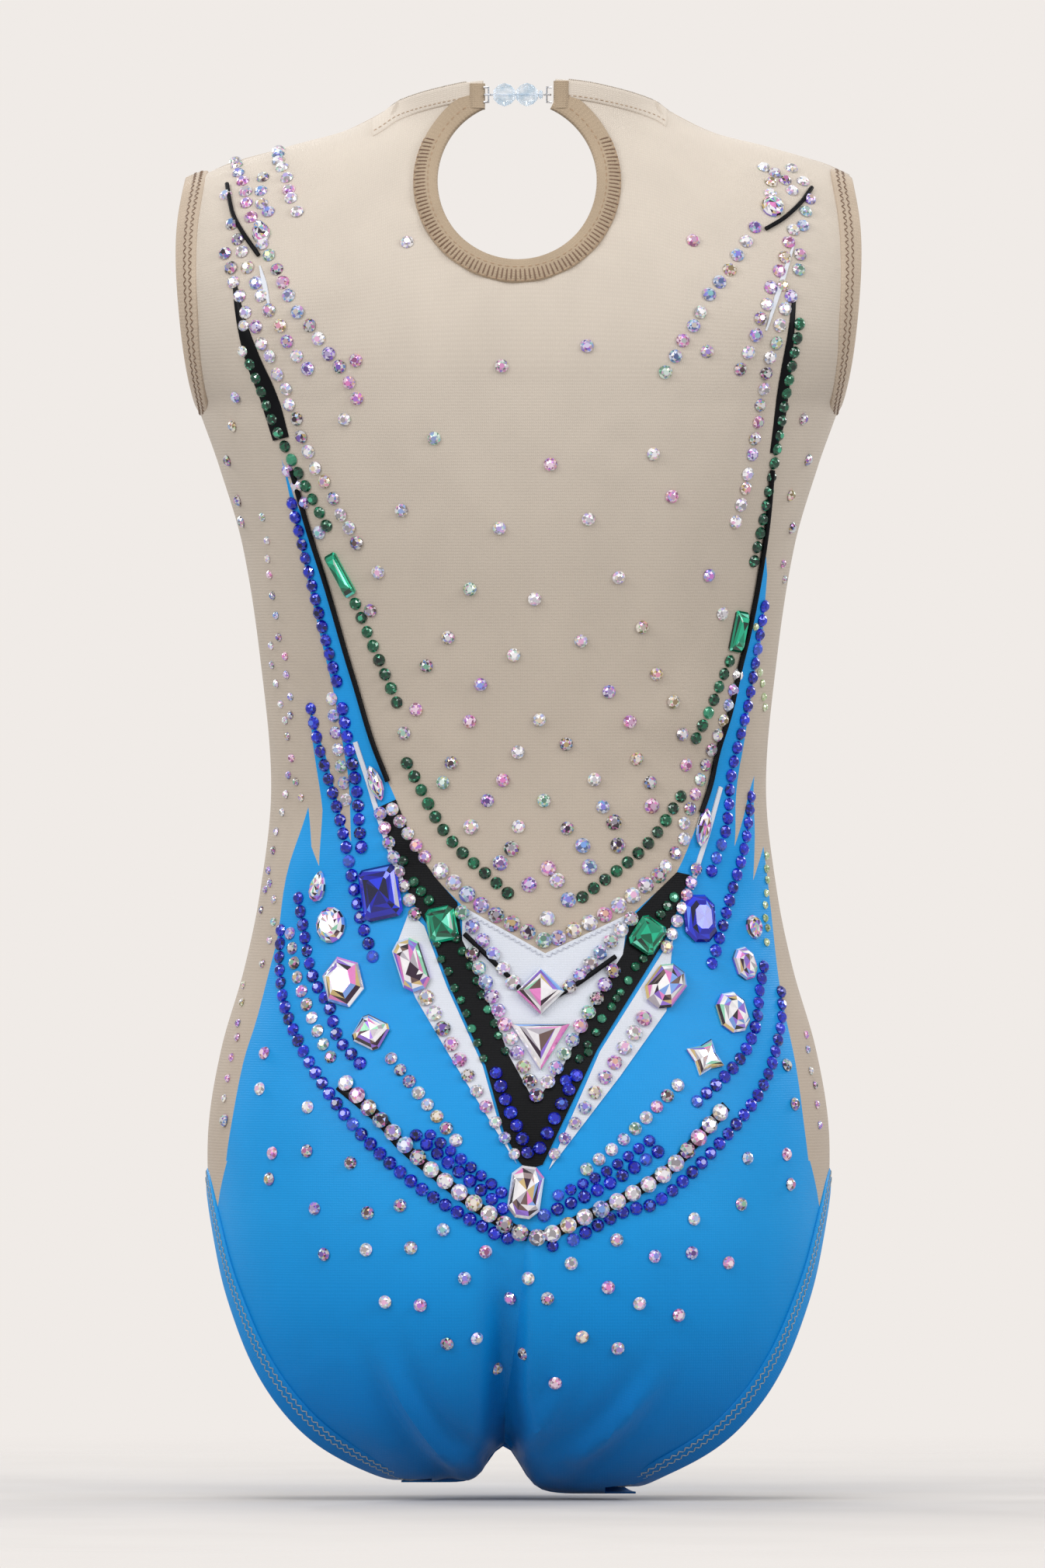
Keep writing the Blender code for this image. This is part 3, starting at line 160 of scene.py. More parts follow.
def through(stations, at):
    """Smooth value through (position, value) stations, with flat ends."""
    if at <= stations[0][0]:
        return stations[0][1]
    if at >= stations[-1][0]:
        return stations[-1][1]
    last = len(stations) - 1
    index = next(i for i in range(last) if at <= stations[i + 1][0])
    (x0, y0), (x1, y1) = stations[index], stations[index + 1]
    span = x1 - x0
    slope = (y1 - y0) / span
    before, after = stations[max(index - 1, 0)], stations[min(index + 2, last)]
    m0 = (y1 - before[1]) / (x1 - before[0]) if index else slope
    m1 = (after[1] - y0) / (after[0] - x0) if index + 1 < last else slope
    t = (at - x0) / span
    return ((2 * t**3 - 3 * t**2 + 1) * y0 + (t**3 - 2 * t**2 + t) * span * m0
            + (3 * t**2 - 2 * t**3) * y1 + (t**3 - t**2) * span * m1)


def tabled(stations, low=-30, high=530):
    """The same curve as a function of arrays."""
    places = np.arange(low, high + 1.0)
    values = np.array([through(stations, place) for place in places])
    return lambda at: np.interp(at, places, values)


half_width = tabled(HALF_WIDTH)
back_depth = tabled(BACK_DEPTH)
front_depth = tabled(FRONT_DEPTH)
shoulder_line = tabled(SHOULDER_LINE, 0, 150)


def spline(points, steps=3):
    """Catmull-Rom points along a polyline of tuples of any length."""
    points = [Vector(p) for p in points]
    ends = [points[0] * 2 - points[1]] + points + [points[-1] * 2 - points[-2]]
    result = []
    for i in range(1, len(ends) - 2):
        a, b, c, d = ends[i - 1:i + 3]
        for step in range(steps):
            t = step / steps
            result.append(0.5 * (2 * b + (c - a) * t + (2 * a - 5 * b + 4 * c - d) * t**2
                                 + (3 * b - a - 3 * c + d) * t**3))
    result.append(points[-1])
    return result


def rounded(share):
    """Quarter of a superellipse: 1 at share 0, falling to 0 at share 1."""
    return (1.0 - np.clip(share, 0.0, 1.0) ** POWER) ** (1.0 / POWER)


def smooth_step(value):
    value = np.clip(value, 0.0, 1.0)
    return value * value * (3 - 2 * value)


def shoulder_height(x):
    return shoulder_line(np.abs(x - SHOULDER_SHIFT))


def seat_low(x):
    """Height of the lowest point of the seat under x."""
    cleft = CLEFT_RISE * np.exp(-((x - CLEFT_X) / CLEFT_WIDTH) ** 2)
    return cleft + LEFT_LOBE_RISE * smooth_step((20.0 - x) / 40.0)


def section(x, z):
    flare = np.maximum(0.0, z - ARMHOLE_BOTTOM) / (ARMHOLE_TOP - ARMHOLE_BOTTOM)
    return rounded(np.abs(x) / (half_width(z) * (1.0 + ARMHOLE_FLARE * flare * (2.0 - flare))))


def shoulder_rounding(x, z):
    share = (z - SHOULDER_START) / (shoulder_height(x) - SHOULDER_START)
    return np.where(z > SHOULDER_START, rounded(share), 1.0)


def back_y(x, z):
    depth = back_depth(z) * section(x, z)
    turned = UNDER_Y + (depth - UNDER_Y) * rounded((SEAT_TURN - z) / (SEAT_TURN - seat_low(x)))
    depth = np.where(z < SEAT_TURN, turned, depth)
    fade = smooth_step((CLEFT_TOP - z) / CLEFT_FADE) * smooth_step((depth - UNDER_Y) / 25.0)
    depth = depth - CLEFT_DEPTH * fade * np.exp(-((x - CLEFT_X) / CLEFT_GROOVE) ** 2)
    depth = depth * shoulder_rounding(x, z)
    neck = NECK_BACK_DEPTH * np.sqrt(np.maximum(0.0, 1.0 - ((x - SHOULDER_SHIFT) / NECK_HALF_WIDTH) ** 2))
    blended = (np.maximum(depth, 0.0) ** NECK_BLEND + neck**NECK_BLEND) ** (1 / NECK_BLEND)
    return -np.where(z > SHOULDER_START, blended, depth)


def front_y(x, z):
    depth = front_depth(z) * section(x, z)
    turned = FRONT_UNDER_Y + (depth - FRONT_UNDER_Y) * rounded((FRONT_TURN - z) / (FRONT_TURN - FRONT_LOW))
    return np.where(z < FRONT_TURN, turned, depth) * shoulder_rounding(x, z)


def surface(side):
    return back_y if side < 0 else front_y


def outward(x, z, side):
    """Unit normals of the form at arrays of x and z."""
    step = 0.6
    limit = half_width(z) - 1.5
    x = np.clip(x, -limit, limit)
    z = np.minimum(z, shoulder_height(x) - 1.5)
    y = surface(side)
    dx = (y(x + step, z) - y(x - step, z)) / (2 * step)
    dz = (y(x, z + step) - y(x, z - step)) / (2 * step)
    normals = np.stack([-side * dx, np.full_like(dx, side), -side * dz], axis=-1)
    return normals / np.linalg.norm(normals, axis=-1, keepdims=True)


# ---------------------------------------------------------------- folds of the cloth

# Ridges as (path, height, half width): the pull of the cloth over the seat, and drapes at waist and hips.
BACK_RIDGES = (
    (((-50, 56), (-40, 34), (-28, 17), (-16, 8)), 3.3, 3.3),
    (((-66, 42), (-54, 25), (-38, 11)), 1.3, 6.0),
    (((54, 50), (35, 26), (15, 10)), 2.9, 3.4),
    (((20, 48), (9, 27), (3, 15)), 2.0, 3.2),
    (((5, 100), (5.2, 60), (4, 22)), 1.5, 2.8),
    (((-92, 214), (-70, 222), (-45, 236)), 0.9, 9.0),
    (((94, 226), (72, 232), (50, 246)), 0.9, 9.0),
    (((-88, 262), (-60, 268), (-32, 262)), 0.6, 9.0),
    (((88, 270), (62, 276), (34, 268)), 0.6, 9.0),
    (((-105, 400), (-84, 420), (-62, 432)), 0.9, 8.0),
    (((106, 398), (86, 414), (62, 424)), 0.9, 8.0),
    (((-22, 424), (-30, 400), (-34, 372)), 0.5, 10.0),
    (((26, 424), (34, 398), (36, 370)), 0.5, 10.0),
)
FRONT_RIDGES = (
    (((-96, 108), (-66, 84), (-36, 52)), 1.3, 7.0),
    (((96, 108), (66, 84), (36, 52)), 1.3, 7.0),
    (((-92, 214), (-50, 226), (-6, 222)), 0.9, 9.0),
    (((92, 206), (54, 220), (10, 230)), 0.9, 9.0),
    (((-106, 396), (-78, 404), (-50, 398)), 1.0, 8.0),
    (((106, 396), (78, 404), (50, 398)), 1.0, 8.0),
)
FOLD_DIP = 0.42
FOLD_FADE_START, FOLD_FADE_END = 26.0, 11.0
SEAM_SINK, SEAM_SINK_HIGH, SEAM_SINK_Z, SEAM_HALF_WIDTH = 0.7, 0.25, 112, 1.5
MESH_WAVE, WAVE_ACROSS, WAVE_UP, WAVE_START, WAVE_BLEND = 0.28, 8.5, 21.0, 240, 60
PUCKERS, PUCKER_REACH, PUCKER_WIDTH, PUCKER_HEIGHT = 19, 40.0, 6.5, 0.4
SIDE_SEAM_BLEND = 4.0


def distance_to(path, x, z):
    """Distance of every point to a polyline of (x, z)."""
    best = np.full(np.shape(x), 1e9)
    for (ax, az), (bx, bz) in zip(path, path[1:]):
        length = (bx - ax) ** 2 + (bz - az) ** 2
        share = np.clip(((x - ax) * (bx - ax) + (z - az) * (bz - az)) / length, 0.0, 1.0)
        best = np.minimum(best, np.hypot(x - ax - share * (bx - ax), z - az - share * (bz - az)))
    return best


def relief(x, z, side):
    """How far the cloth stands off the form: folds, the centre seam, and puckers under the keyhole."""
    total = np.zeros(np.shape(x))
    for path, height, wide in BACK_RIDGES if side < 0 else FRONT_RIDGES:
        near = distance_to([tuple(p) for p in spline(path, 4)], x, z) / wide
        (ax, az), (bx, bz) = path[0], path[-1]
        fade = smooth_step(np.hypot(x - ax, z - az) / FOLD_FADE_START)
        fade = fade * smooth_step(np.hypot(x - bx, z - bz) / FOLD_FADE_END)
        total += height * fade * (np.exp(-near**2) - FOLD_DIP * np.exp(-((near - 2.0) / 0.9) ** 2))
    if side < 0:
        seam = [NECKLINE_POINT] + list(CENTRE_SEAM) + [(CLEFT_X, -10)]
        away = distance_to(seam, x, z) / SEAM_HALF_WIDTH
        total -= np.where(z < SEAM_SINK_Z, SEAM_SINK, SEAM_SINK_HIGH) * np.exp(-away**2)
        wave = np.sin(x / WAVE_ACROSS + z / WAVE_UP)
        total += MESH_WAVE * wave * smooth_step((z - WAVE_START) / WAVE_BLEND)
        reach = np.hypot(x - KEYHOLE_X, z - KEYHOLE_Z)
        turn = np.arctan2(x - KEYHOLE_X, KEYHOLE_Z - z)
        pucker = np.exp(-((reach - PUCKER_REACH) / PUCKER_WIDTH) ** 2) * smooth_step((KEYHOLE_Z + 8 - z) / 20)
        total += PUCKER_HEIGHT * np.sin(PUCKERS * turn) * pucker
    return total


def on_cloth(x, z, side=-1, lift=0.0):
    """Points on the cloth at (x, z), moved out by lift, and the form's normals there."""
    x, z = np.atleast_1d(np.asarray(x, float)), np.atleast_1d(np.asarray(z, float))
    normals = outward(x, z, side)
    seam = smooth_step((half_width(z) - np.abs(x)) / SIDE_SEAM_BLEND)
    points = np.stack([x, surface(side)(x, z), z], axis=-1)
    return points + normals * (relief(x, z, side) * seam + lift)[:, None], normals


# ---------------------------------------------------------------- flat pattern


def flat_turns(side):
    return (SEAT_TURN, SEAT_ARC) if side < 0 else (FRONT_TURN, FRONT_ARC)


def low_edge(x, side):
    return seat_low(x) if side < 0 else np.full(np.shape(x), FRONT_LOW)


def to_flat(x, z, side):
    """Place on the flat pattern of (x, z) on the worn garment."""
    turn, arc = flat_turns(side)
    s = FLAT_RADIUS * np.arcsin(np.clip(x / half_width(z), -1.0, 1.0))
    down = np.clip((turn - z) / (turn - low_edge(x, side)), 0.0, 1.0)
    up = np.clip((z - SHOULDER_START) / (shoulder_height(x) - SHOULDER_START), 0.0, 1.0)
    low = turn - arc * np.arcsin(down ** (POWER / 2)) / (math.pi / 2)
    high = SHOULDER_START + SHOULDER_ARC * np.arcsin(up ** (POWER / 2)) / (math.pi / 2)
    return s, np.where(z < turn, low, np.where(z > SHOULDER_START, high, z))


def from_flat(s, t, side):
    """(x, z) on the worn garment of a place on the flat pattern."""
    turn, arc = flat_turns(side)
    down = np.sin(np.clip((turn - t) / arc, 0.0, 1.0) * math.pi / 2) ** (2 / POWER)
    up = np.sin(np.clip((t - SHOULDER_START) / SHOULDER_ARC, 0.0, 1.0) * math.pi / 2) ** (2 / POWER)
    x = FLAT_RADIUS * np.sin(s / FLAT_RADIUS)
    for _ in range(8):
        low = turn - down * (turn - low_edge(x, side))
        high = SHOULDER_START + up * (shoulder_height(x) - SHOULDER_START)
        z = np.where(t < turn, low, np.where(t > SHOULDER_START, high, t))
        x = half_width(z) * np.sin(s / FLAT_RADIUS)
    return x, z


def densified(loop, step):
    """Closed loop with points added so that no edge is longer than step."""
    result = []
    for a, b in zip(loop, loop[1:] + loop[:1]):
        a, b = Vector(a[:2]), Vector(b[:2])
        count = max(1, math.ceil((b - a).length / step))
        result += [a.lerp(b, i / count) for i in range(count)]
    return result


def inside(points, loop):
    """Which of the points (n, 2) lie inside a closed loop."""
    px, py = points[:, 0], points[:, 1]
    result = np.zeros(len(points), bool)
    for (ax, ay), (bx, by) in zip(loop, np.roll(loop, -1, axis=0)):
        if ay == by:
            continue
        crosses = (ay > py) != (by > py)
        result ^= crosses & (px < (bx - ax) * (py - ay) / (by - ay) + ax)
    return result


# How close a grid point may come to a border, as a share of a cell, and the smallest triangle.
BORDER_CLEAR, LEAST_AREA = 0.55, 1e-5


def within(points, keep, cut):
    """Which of the points lie inside a keep loop and outside every cut loop."""
    result = np.zeros(len(points), bool)
    for loop in keep:
        result |= inside(points, np.array([tuple(p) for p in loop]))
    for loop in cut:
        result &= ~inside(points, np.array([tuple(p) for p in loop]))
    return result


def triangulated(keep, cut, cell):
    """Triangles that fill the keep loops outside the cut loops, with their flat points."""
    points, edges = [], []
    for loop in keep + cut:
        first = len(points)
        points += [tuple(p) for p in loop]
        edges += [(first + i, first + (i + 1) % len(loop)) for i in range(len(loop))]
    tree = kdtree.KDTree(len(points))
    for i, p in enumerate(points):
        tree.insert((p[0], p[1], 0.0), i)
    tree.balance()
    border = np.array(points)
    low, high = border.min(axis=0), border.max(axis=0)
    rows = np.arange(low[1], high[1], cell * 0.866)  # rows of even triangles
    grid = []
    for i, t in enumerate(rows):
        across = np.arange(low[0] + (i % 2) * cell / 2, high[0], cell)
        grid.append(np.stack([across, np.full_like(across, t)], axis=-1))
    grid = np.concatenate(grid)
    wanted = grid[within(grid, keep, cut)]
    clear = [p for p in wanted if tree.find((p[0], p[1], 0.0))[2] > cell * BORDER_CLEAR]
    flat = [Vector(p) for p in points] + [Vector(p) for p in clear]
    made = geometry.delaunay_2d_cdt(flat, edges, [], 0, 1e-4)
    flat, faces = np.array([tuple(v) for v in made[0]]), np.array([f for f in made[2] if len(f) == 3])
    faces = faces[within(flat[faces].mean(axis=1), keep, cut)]
    corners = flat[faces]
    one, two = corners[:, 1] - corners[:, 0], corners[:, 2] - corners[:, 0]
    area = one[:, 0] * two[:, 1] - one[:, 1] * two[:, 0]
    faces = faces[np.abs(area) > LEAST_AREA]
    used, faces = np.unique(faces, return_inverse=True)
    return flat[used], faces.reshape(-1, 3)


# ---------------------------------------------------------------- meshes


def make_mesh(name, points, faces, look, smooth=True, sharp=40):
    """Object from millimetre points, with its material, riding on the garment."""
    mesh = bpy.data.meshes.new(name)
    places = (np.asarray(points, float) + np.array(ORIGIN)) * MM
    mesh.from_pydata(places.tolist(), [], [tuple(f) for f in faces])
    mesh.validate()
    mesh.materials.append(look)
    if smooth:
        mesh.shade_smooth()
        mesh.set_sharp_from_angle(angle=math.radians(sharp))
    else:
        mesh.shade_flat()
    obj = bpy.data.objects.new(name, mesh)
    bpy.context.scene.collection.objects.link(obj)
    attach(obj, GARMENT)
    return obj


def set_pattern(obj, places):
    """Gives each point its place on the flat pattern, which the weave follows."""
    attribute = obj.data.attributes.new("pattern", "FLOAT_VECTOR", "POINT")
    attribute.data.foreach_set("vector", np.ravel(places))


def ring_faces(rings, count, closed=False):
    """Faces between rings of count points. An open tube gets end caps."""
    faces = []
    for i in range(rings if closed else rings - 1):
        near, far = i * count, ((i + 1) % rings) * count
        faces += [(near + j, near + (j + 1) % count, far + (j + 1) % count, far + j) for j in range(count)]
    if not closed:
        faces += [tuple(range(count))[::-1], tuple(range((rings - 1) * count, rings * count))]
    return faces


def facing_out(points, faces, middle, probe=0):
    """The faces, all turned round if the probed one looks towards the middle."""
    a, b, c = (points[k] for k in faces[probe][:3])
    return [f[::-1] for f in faces] if np.cross(b - a, c - a) @ (a - middle) < 0 else faces


def point_normals(points, faces):
    """Averaged normals of a triangle mesh."""
    corners = points[faces]
    face_normals = np.cross(corners[:, 1] - corners[:, 0], corners[:, 2] - corners[:, 0])
    normals = np.zeros_like(points)
    for i in range(3):
        np.add.at(normals, faces[:, i], face_normals)
    return normals / np.maximum(np.linalg.norm(normals, axis=1, keepdims=True), 1e-9)


def sheet(name, points, faces, flat, thickness, look, out):
    """Closed thin sheet: the triangles, a copy moved inward, and a rim. out is roughly outward."""
    corners = points[faces]
    face_normals = np.cross(corners[:, 1] - corners[:, 0], corners[:, 2] - corners[:, 0])
    if (face_normals * out[faces[:, 0]]).sum() < 0:
        faces = faces[:, ::-1]
    normals = point_normals(points, faces)
    count = len(points)
    sides = {}
    for a, b, c in faces:
        for edge in ((a, b), (b, c), (c, a)):
            sides[edge] = True
    rim = [(b, a, a + count, b + count) for a, b in sides if (b, a) not in sides]
    both = np.concatenate([points, points - normals * thickness])
    shell = [tuple(f) for f in faces] + [tuple(f) for f in faces[:, ::-1] + count]
    obj = make_mesh(name, both, shell + rim, look)
    set_pattern(obj, np.tile(np.pad(flat, ((0, 0), (0, 1))), (2, 1)))
    return obj


def flat_loop(loop, side, step=CELL):
    """Loop of (x, z) as a densified loop on the flat pattern."""
    points = np.array([tuple(p) for p in densified(loop, step)])
    s, t = to_flat(points[:, 0], points[:, 1], side)
    return [Vector(p) for p in zip(s, t)]


def cloth_piece(name, keep, cut, side, look, lift=0.0, thickness=CLOTH, cell=CELL):
    """Piece of cloth on the form, from loops on the flat pattern."""
    flat, faces = triangulated(keep, cut, cell)
    x, z = from_flat(flat[:, 0], flat[:, 1], side)
    points, normals = on_cloth(x, z, side, lift)
    return sheet(name, points, faces, flat, thickness, look, normals)


def swept(name, frames, profile, closed, look):
    """Closed solid with a profile of (into, out) along frames."""
    points, pattern, length = [], [], 0.0
    for i, (point, into, out) in enumerate(frames):
        if i:
            length += (point - frames[i - 1][0]).length
        points += [tuple(point + into * u + out * n) for u, n in profile]
        pattern += [(u, length, 0.0) for u, n in profile]
    points = np.array(points)
    middle = points[:len(profile)].mean(axis=0)
    faces = facing_out(points, ring_faces(len(frames), len(profile), closed), middle)
    obj = make_mesh(name, points, faces, look, sharp=50)
    set_pattern(obj, pattern)
    return obj


def circle_profile(radius):
    angles = [2 * math.pi * i / CORD_SIDES for i in range(CORD_SIDES)]
    return [(radius * math.cos(a), radius * math.sin(a)) for a in angles]


# ---------------------------------------------------------------- materials


def srgb(*values):
    return tuple((v / 255 / 12.92) if v <= 10 else ((v / 255 + 0.055) / 1.055) ** 2.4 for v in values)


class Look:
    """Node tree of one material, with short calls for the nodes that the looks share."""

    def __init__(self, name, roughness=0.5, metallic=0.0):
        self.material = bpy.data.materials.new(name)
        self.material.use_nodes = True
        self.tree = self.material.node_tree
        self.shader = self.tree.nodes["Principled BSDF"]
        self.set(Roughness=roughness, Metallic=metallic)

    def set(self, **values):
        for name, value in values.items():
            self.shader.inputs[name.replace("_", " ")].default_value = value
        return self

    def node(self, kind, **values):
        made = self.tree.nodes.new(kind)
        for name, value in values.items():
            if name in made.inputs:
                made.inputs[name].default_value = value
            else:
                setattr(made, name, value)
        return made

    def link(self, source, target):
        self.tree.links.new(source, target)

    def to(self, source, name):
        self.link(source, self.shader.inputs[name])

    def millimetres(self, by_pattern):
        """Coordinates in millimetres: along the cloth's pattern, or in space."""
        if by_pattern:
            return self.node("ShaderNodeAttribute", attribute_name="pattern").outputs["Vector"]
        place = self.node("ShaderNodeTexCoord").outputs["Object"]
        scaled = self.node("ShaderNodeVectorMath", operation="SCALE")
        scaled.inputs["Scale"].default_value = 1 / MM
        self.link(place, scaled.inputs[0])
        return scaled.outputs[0]

    def ramp(self, source, *stops):
        made = self.node("ShaderNodeValToRGB")
        line = made.color_ramp
        while len(line.elements) < len(stops):
            line.elements.new(0.5)
        for element, (place, color) in zip(line.elements, stops):
            element.position = place
            element.color = (*color, 1.0)
        self.link(source, made.inputs["Fac"])
        return made.outputs["Color"]

    def mix(self, kind, factor, one, two):
        made = self.node("ShaderNodeMix", data_type="RGBA", blend_type=kind)
        if isinstance(factor, float):
            made.inputs[0].default_value = factor
        else:
            self.link(factor, made.inputs[0])
        for source, target in ((one, made.inputs[6]), (two, made.inputs[7])):
            if isinstance(source, tuple):
                target.default_value = (*source, 1.0)
            else:
                self.link(source, target)
        return made.outputs[2]

    def noise(self, coordinates, scale, detail=3.0):
        made = self.node("ShaderNodeTexNoise", Scale=scale, Detail=detail)
        self.link(coordinates, made.inputs["Vector"])
        return made.outputs["Fac"]

    def bands(self, coordinates, pitch, direction):
        """Sine bands with a pitch in millimetres."""
        made = self.node("ShaderNodeTexWave", bands_direction=direction, Scale=math.pi / 10 / pitch)
        made.inputs["Distortion"].default_value = 0.4
        self.link(coordinates, made.inputs["Vector"])
        return made.outputs["Fac"]

    def bump(self, height, distance, strength=1.0, before=None):
        made = self.node("ShaderNodeBump", Distance=distance * MM, Strength=strength)
        self.link(height, made.inputs["Height"])
        if before:
            self.link(before, made.inputs["Normal"])
        self.to(made.outputs["Normal"], "Normal")
        return made.outputs["Normal"]


def height_share(look, low, high):
    """0 at one height of the garment and 1 at another, in millimetres."""
    place = look.node("ShaderNodeSeparateXYZ")
    look.link(look.millimetres(False), place.inputs[0])
    made = look.node("ShaderNodeMapRange")
    made.inputs["From Min"].default_value = low
    made.inputs["From Max"].default_value = high
    look.link(place.outputs["Z"], made.inputs["Value"])
    return made.outputs["Result"]


def knit(name, stops, roughness, sheen, rib, by_pattern=True, heights=(0, 500), mottle_and_shade=0.12, depth=0.1):
    """Stretch knit: colour by height, painted darker low and lighter high where the light from above falls,
    faint mottling that is partly painted shade of soft wrinkles, and fine ribs and cross threads whose
    grooves are painted darker as shade.
    """
    look = Look(name, roughness).set(Sheen_Weight=sheen, Sheen_Roughness=0.35, Specular_IOR_Level=0.16)
    place = look.millimetres(by_pattern)
    # colour by height: painted shade low and painted light high, as the light from above falls
    color = look.ramp(height_share(look, *heights), *stops)
    # faint mottling: partly random tone and partly painted shade of soft wrinkles
    mottle_and_wrinkle_shade = look.ramp(look.noise(place, 0.045), (0.25, (1 - mottle_and_shade,) * 3), (0.75, (1.0, 1.0, 1.0)))
    color = look.mix("MULTIPLY", 1.0, color, mottle_and_wrinkle_shade)
    ribs = look.bands(place, rib, "X")
    threads = look.bands(place, rib * 1.4, "Y")
    weave = look.mix("MULTIPLY", 1.0, ribs, threads)
    # the weave's grooves painted darker: painted shade, besides the bump below
    shade = look.ramp(weave, (0.0, (0.9, 0.9, 0.9)), (0.6, (1.0, 1.0, 1.0)))
    look.to(look.mix("MULTIPLY", 0.6, color, shade), "Base Color")
    grain = look.bump(look.noise(place, 1.1, 4.0), depth)
    look.bump(weave, depth, 0.8, grain)
    return look.material


def thread_look(name, color):
    look = Look(name, 0.55).set(Sheen_Weight=0.3)
    place = look.millimetres(False)
    twist = look.ramp(look.noise(place, 2.5), (0.3, tuple(c * 0.7 for c in color)), (0.7, color))
    look.to(twist, "Base Color")
    look.bump(look.noise(place, 4.0), 0.05)
    return look.material


def stone_look(name, roughness, metallic, painted_glow, film):
    """Cut glass with a foil back. Each facet's colour comes from the mesh: the stone's own colour with
    painted highlights and painted dark reflections, and the stone glows faintly with it, which is painted
    light.
    """
    look = Look(name, roughness, metallic)
    look.set(Coat_Weight=0.6, Coat_Roughness=0.03, Specular_IOR_Level=0.8)
    facet = look.node("ShaderNodeAttribute", attribute_name="facet").outputs["Color"]
    scuffed = look.ramp(look.noise(look.millimetres(False), 0.8), (0.3, (0.92,) * 3), (0.7, (1.0,) * 3))
    color = look.mix("MULTIPLY", 1.0, facet, scuffed)
    look.to(color, "Base Color")
    # the stones glow faintly with their facet colours, though they are no lamp: painted light
    look.to(color, "Emission Color")
    look.set(Emission_Strength=painted_glow)
    if film:
        look.shader.inputs["Thin Film Thickness"].default_value = film
        look.shader.inputs["Thin Film IOR"].default_value = 1.5
    return look.material


def glass_look(name, color):
    look = Look(name, 0.04).set(Transmission_Weight=0.75, IOR=1.52, Coat_Weight=0.5)
    tint = look.ramp(look.noise(look.millimetres(False), 0.35), (0.35, color), (0.65, (0.95, 0.97, 1.0)))
    look.to(tint, "Base Color")
    # the beads glow faintly with their tint, though they are no lamp: painted light
    look.to(tint, "Emission Color")
    look.set(Emission_Strength=0.12)
    return look.material


def steel_look():
    look = Look("polished_steel", 0.22, 1.0)
    place = look.millimetres(False)
    tone = look.ramp(look.noise(place, 0.9), (0.3, (0.5, 0.5, 0.52)), (0.7, (0.74, 0.74, 0.76)))
    look.to(tone, "Base Color")
    look.to(look.ramp(look.noise(place, 2.2), (0.3, (0.16,) * 3), (0.7, (0.34,) * 3)), "Roughness")
    look.bump(look.noise(place, 3.0), 0.02)
    return look.material


# Knit colours by height share, darker low and lighter high: painted shade and painted light from above. The
# blue's dark bottom paints the shade under the turn of the seat, and the nude's pale top paints the light on
# the shoulders.
NUDE_STOPS = ((0.3, srgb(186, 172, 157)), (0.62, srgb(193, 181, 167)), (0.96, srgb(216, 205, 192)))
BLUE_SHADED_STOPS = ((0.0, srgb(0, 96, 166)), (0.12, srgb(0, 118, 194)), (0.22, srgb(6, 134, 208)),
              (0.36, srgb(26, 150, 222)), (1.0, srgb(34, 156, 230)))
BLACK_STOPS = ((0.0, srgb(1, 2, 6)), (1.0, srgb(3, 4, 10)))
WHITE_STOPS = ((0.0, srgb(214, 219, 230)), (1.0, srgb(226, 230, 238)))
TAN_STOPS = ((0.2, srgb(178, 156, 132)), (0.9, srgb(184, 164, 140)))
ARM_STOPS = ((0.2, srgb(193, 174, 153)), (0.9, srgb(200, 182, 162)))

LOOKS = {
    "mesh": knit("nude_stretch_mesh", NUDE_STOPS, 0.72, 0.12, 0.75, mottle_and_shade=0.06),
    "blue": knit("blue_lycra", BLUE_SHADED_STOPS, 0.4, 0.06, 0.6, heights=(0, 280), mottle_and_shade=0.06, depth=0.05),
    "black": knit("black_lycra", BLACK_STOPS, 0.45, 0.02, 0.6, mottle_and_shade=0.3, depth=0.08),
    "white": knit("white_lycra", WHITE_STOPS, 0.45, 0.1, 0.6, mottle_and_shade=0.05, depth=0.08),
    "tan": knit("nude_binding", TAN_STOPS, 0.8, 0.3, 0.9, mottle_and_shade=0.15, depth=0.16),
    "arm_tan": knit("pale_nude_binding", ARM_STOPS, 0.8, 0.3, 0.9, mottle_and_shade=0.15, depth=0.16),
    "lining": knit("lining", TAN_STOPS, 0.85, 0.3, 0.9, by_pattern=False, mottle_and_shade=0.12),
    "elastic": knit("woven_elastic", WHITE_STOPS, 0.75, 0.2, 1.0, by_pattern=False, mottle_and_shade=0.15, depth=0.15),
    "brown_thread": thread_look("brown_thread", srgb(122, 92, 68)),
    "tan_thread": thread_look("tan_thread", srgb(178, 148, 118)),
    "grey_thread": thread_look("grey_beige_thread", srgb(150, 158, 158)),
    "white_thread": thread_look("white_thread", srgb(206, 210, 224)),
    "crystal": stone_look("coated_crystal", 0.08, 0.35, 0.1, 420.0),
    "sapphire": stone_look("sapphire_glass", 0.1, 0.3, 0.12, 0.0),
    "emerald": stone_look("emerald_glass", 0.1, 0.3, 0.06, 0.0),
    "bead": glass_look("clear_bead_glass", srgb(196, 214, 228)),
    "steel": steel_look(),
}


# ---------------------------------------------------------------- sewn cloth


def whole_side(low):
    """All of one side as a loop on the flat pattern, from a height there up over the shoulders."""
    high = SHOULDER_START + SHOULDER_ARC
    return densified([(-HALF_TURN, low), (HALF_TURN, low), (HALF_TURN, high), (-HALF_TURN, high)], CELL)


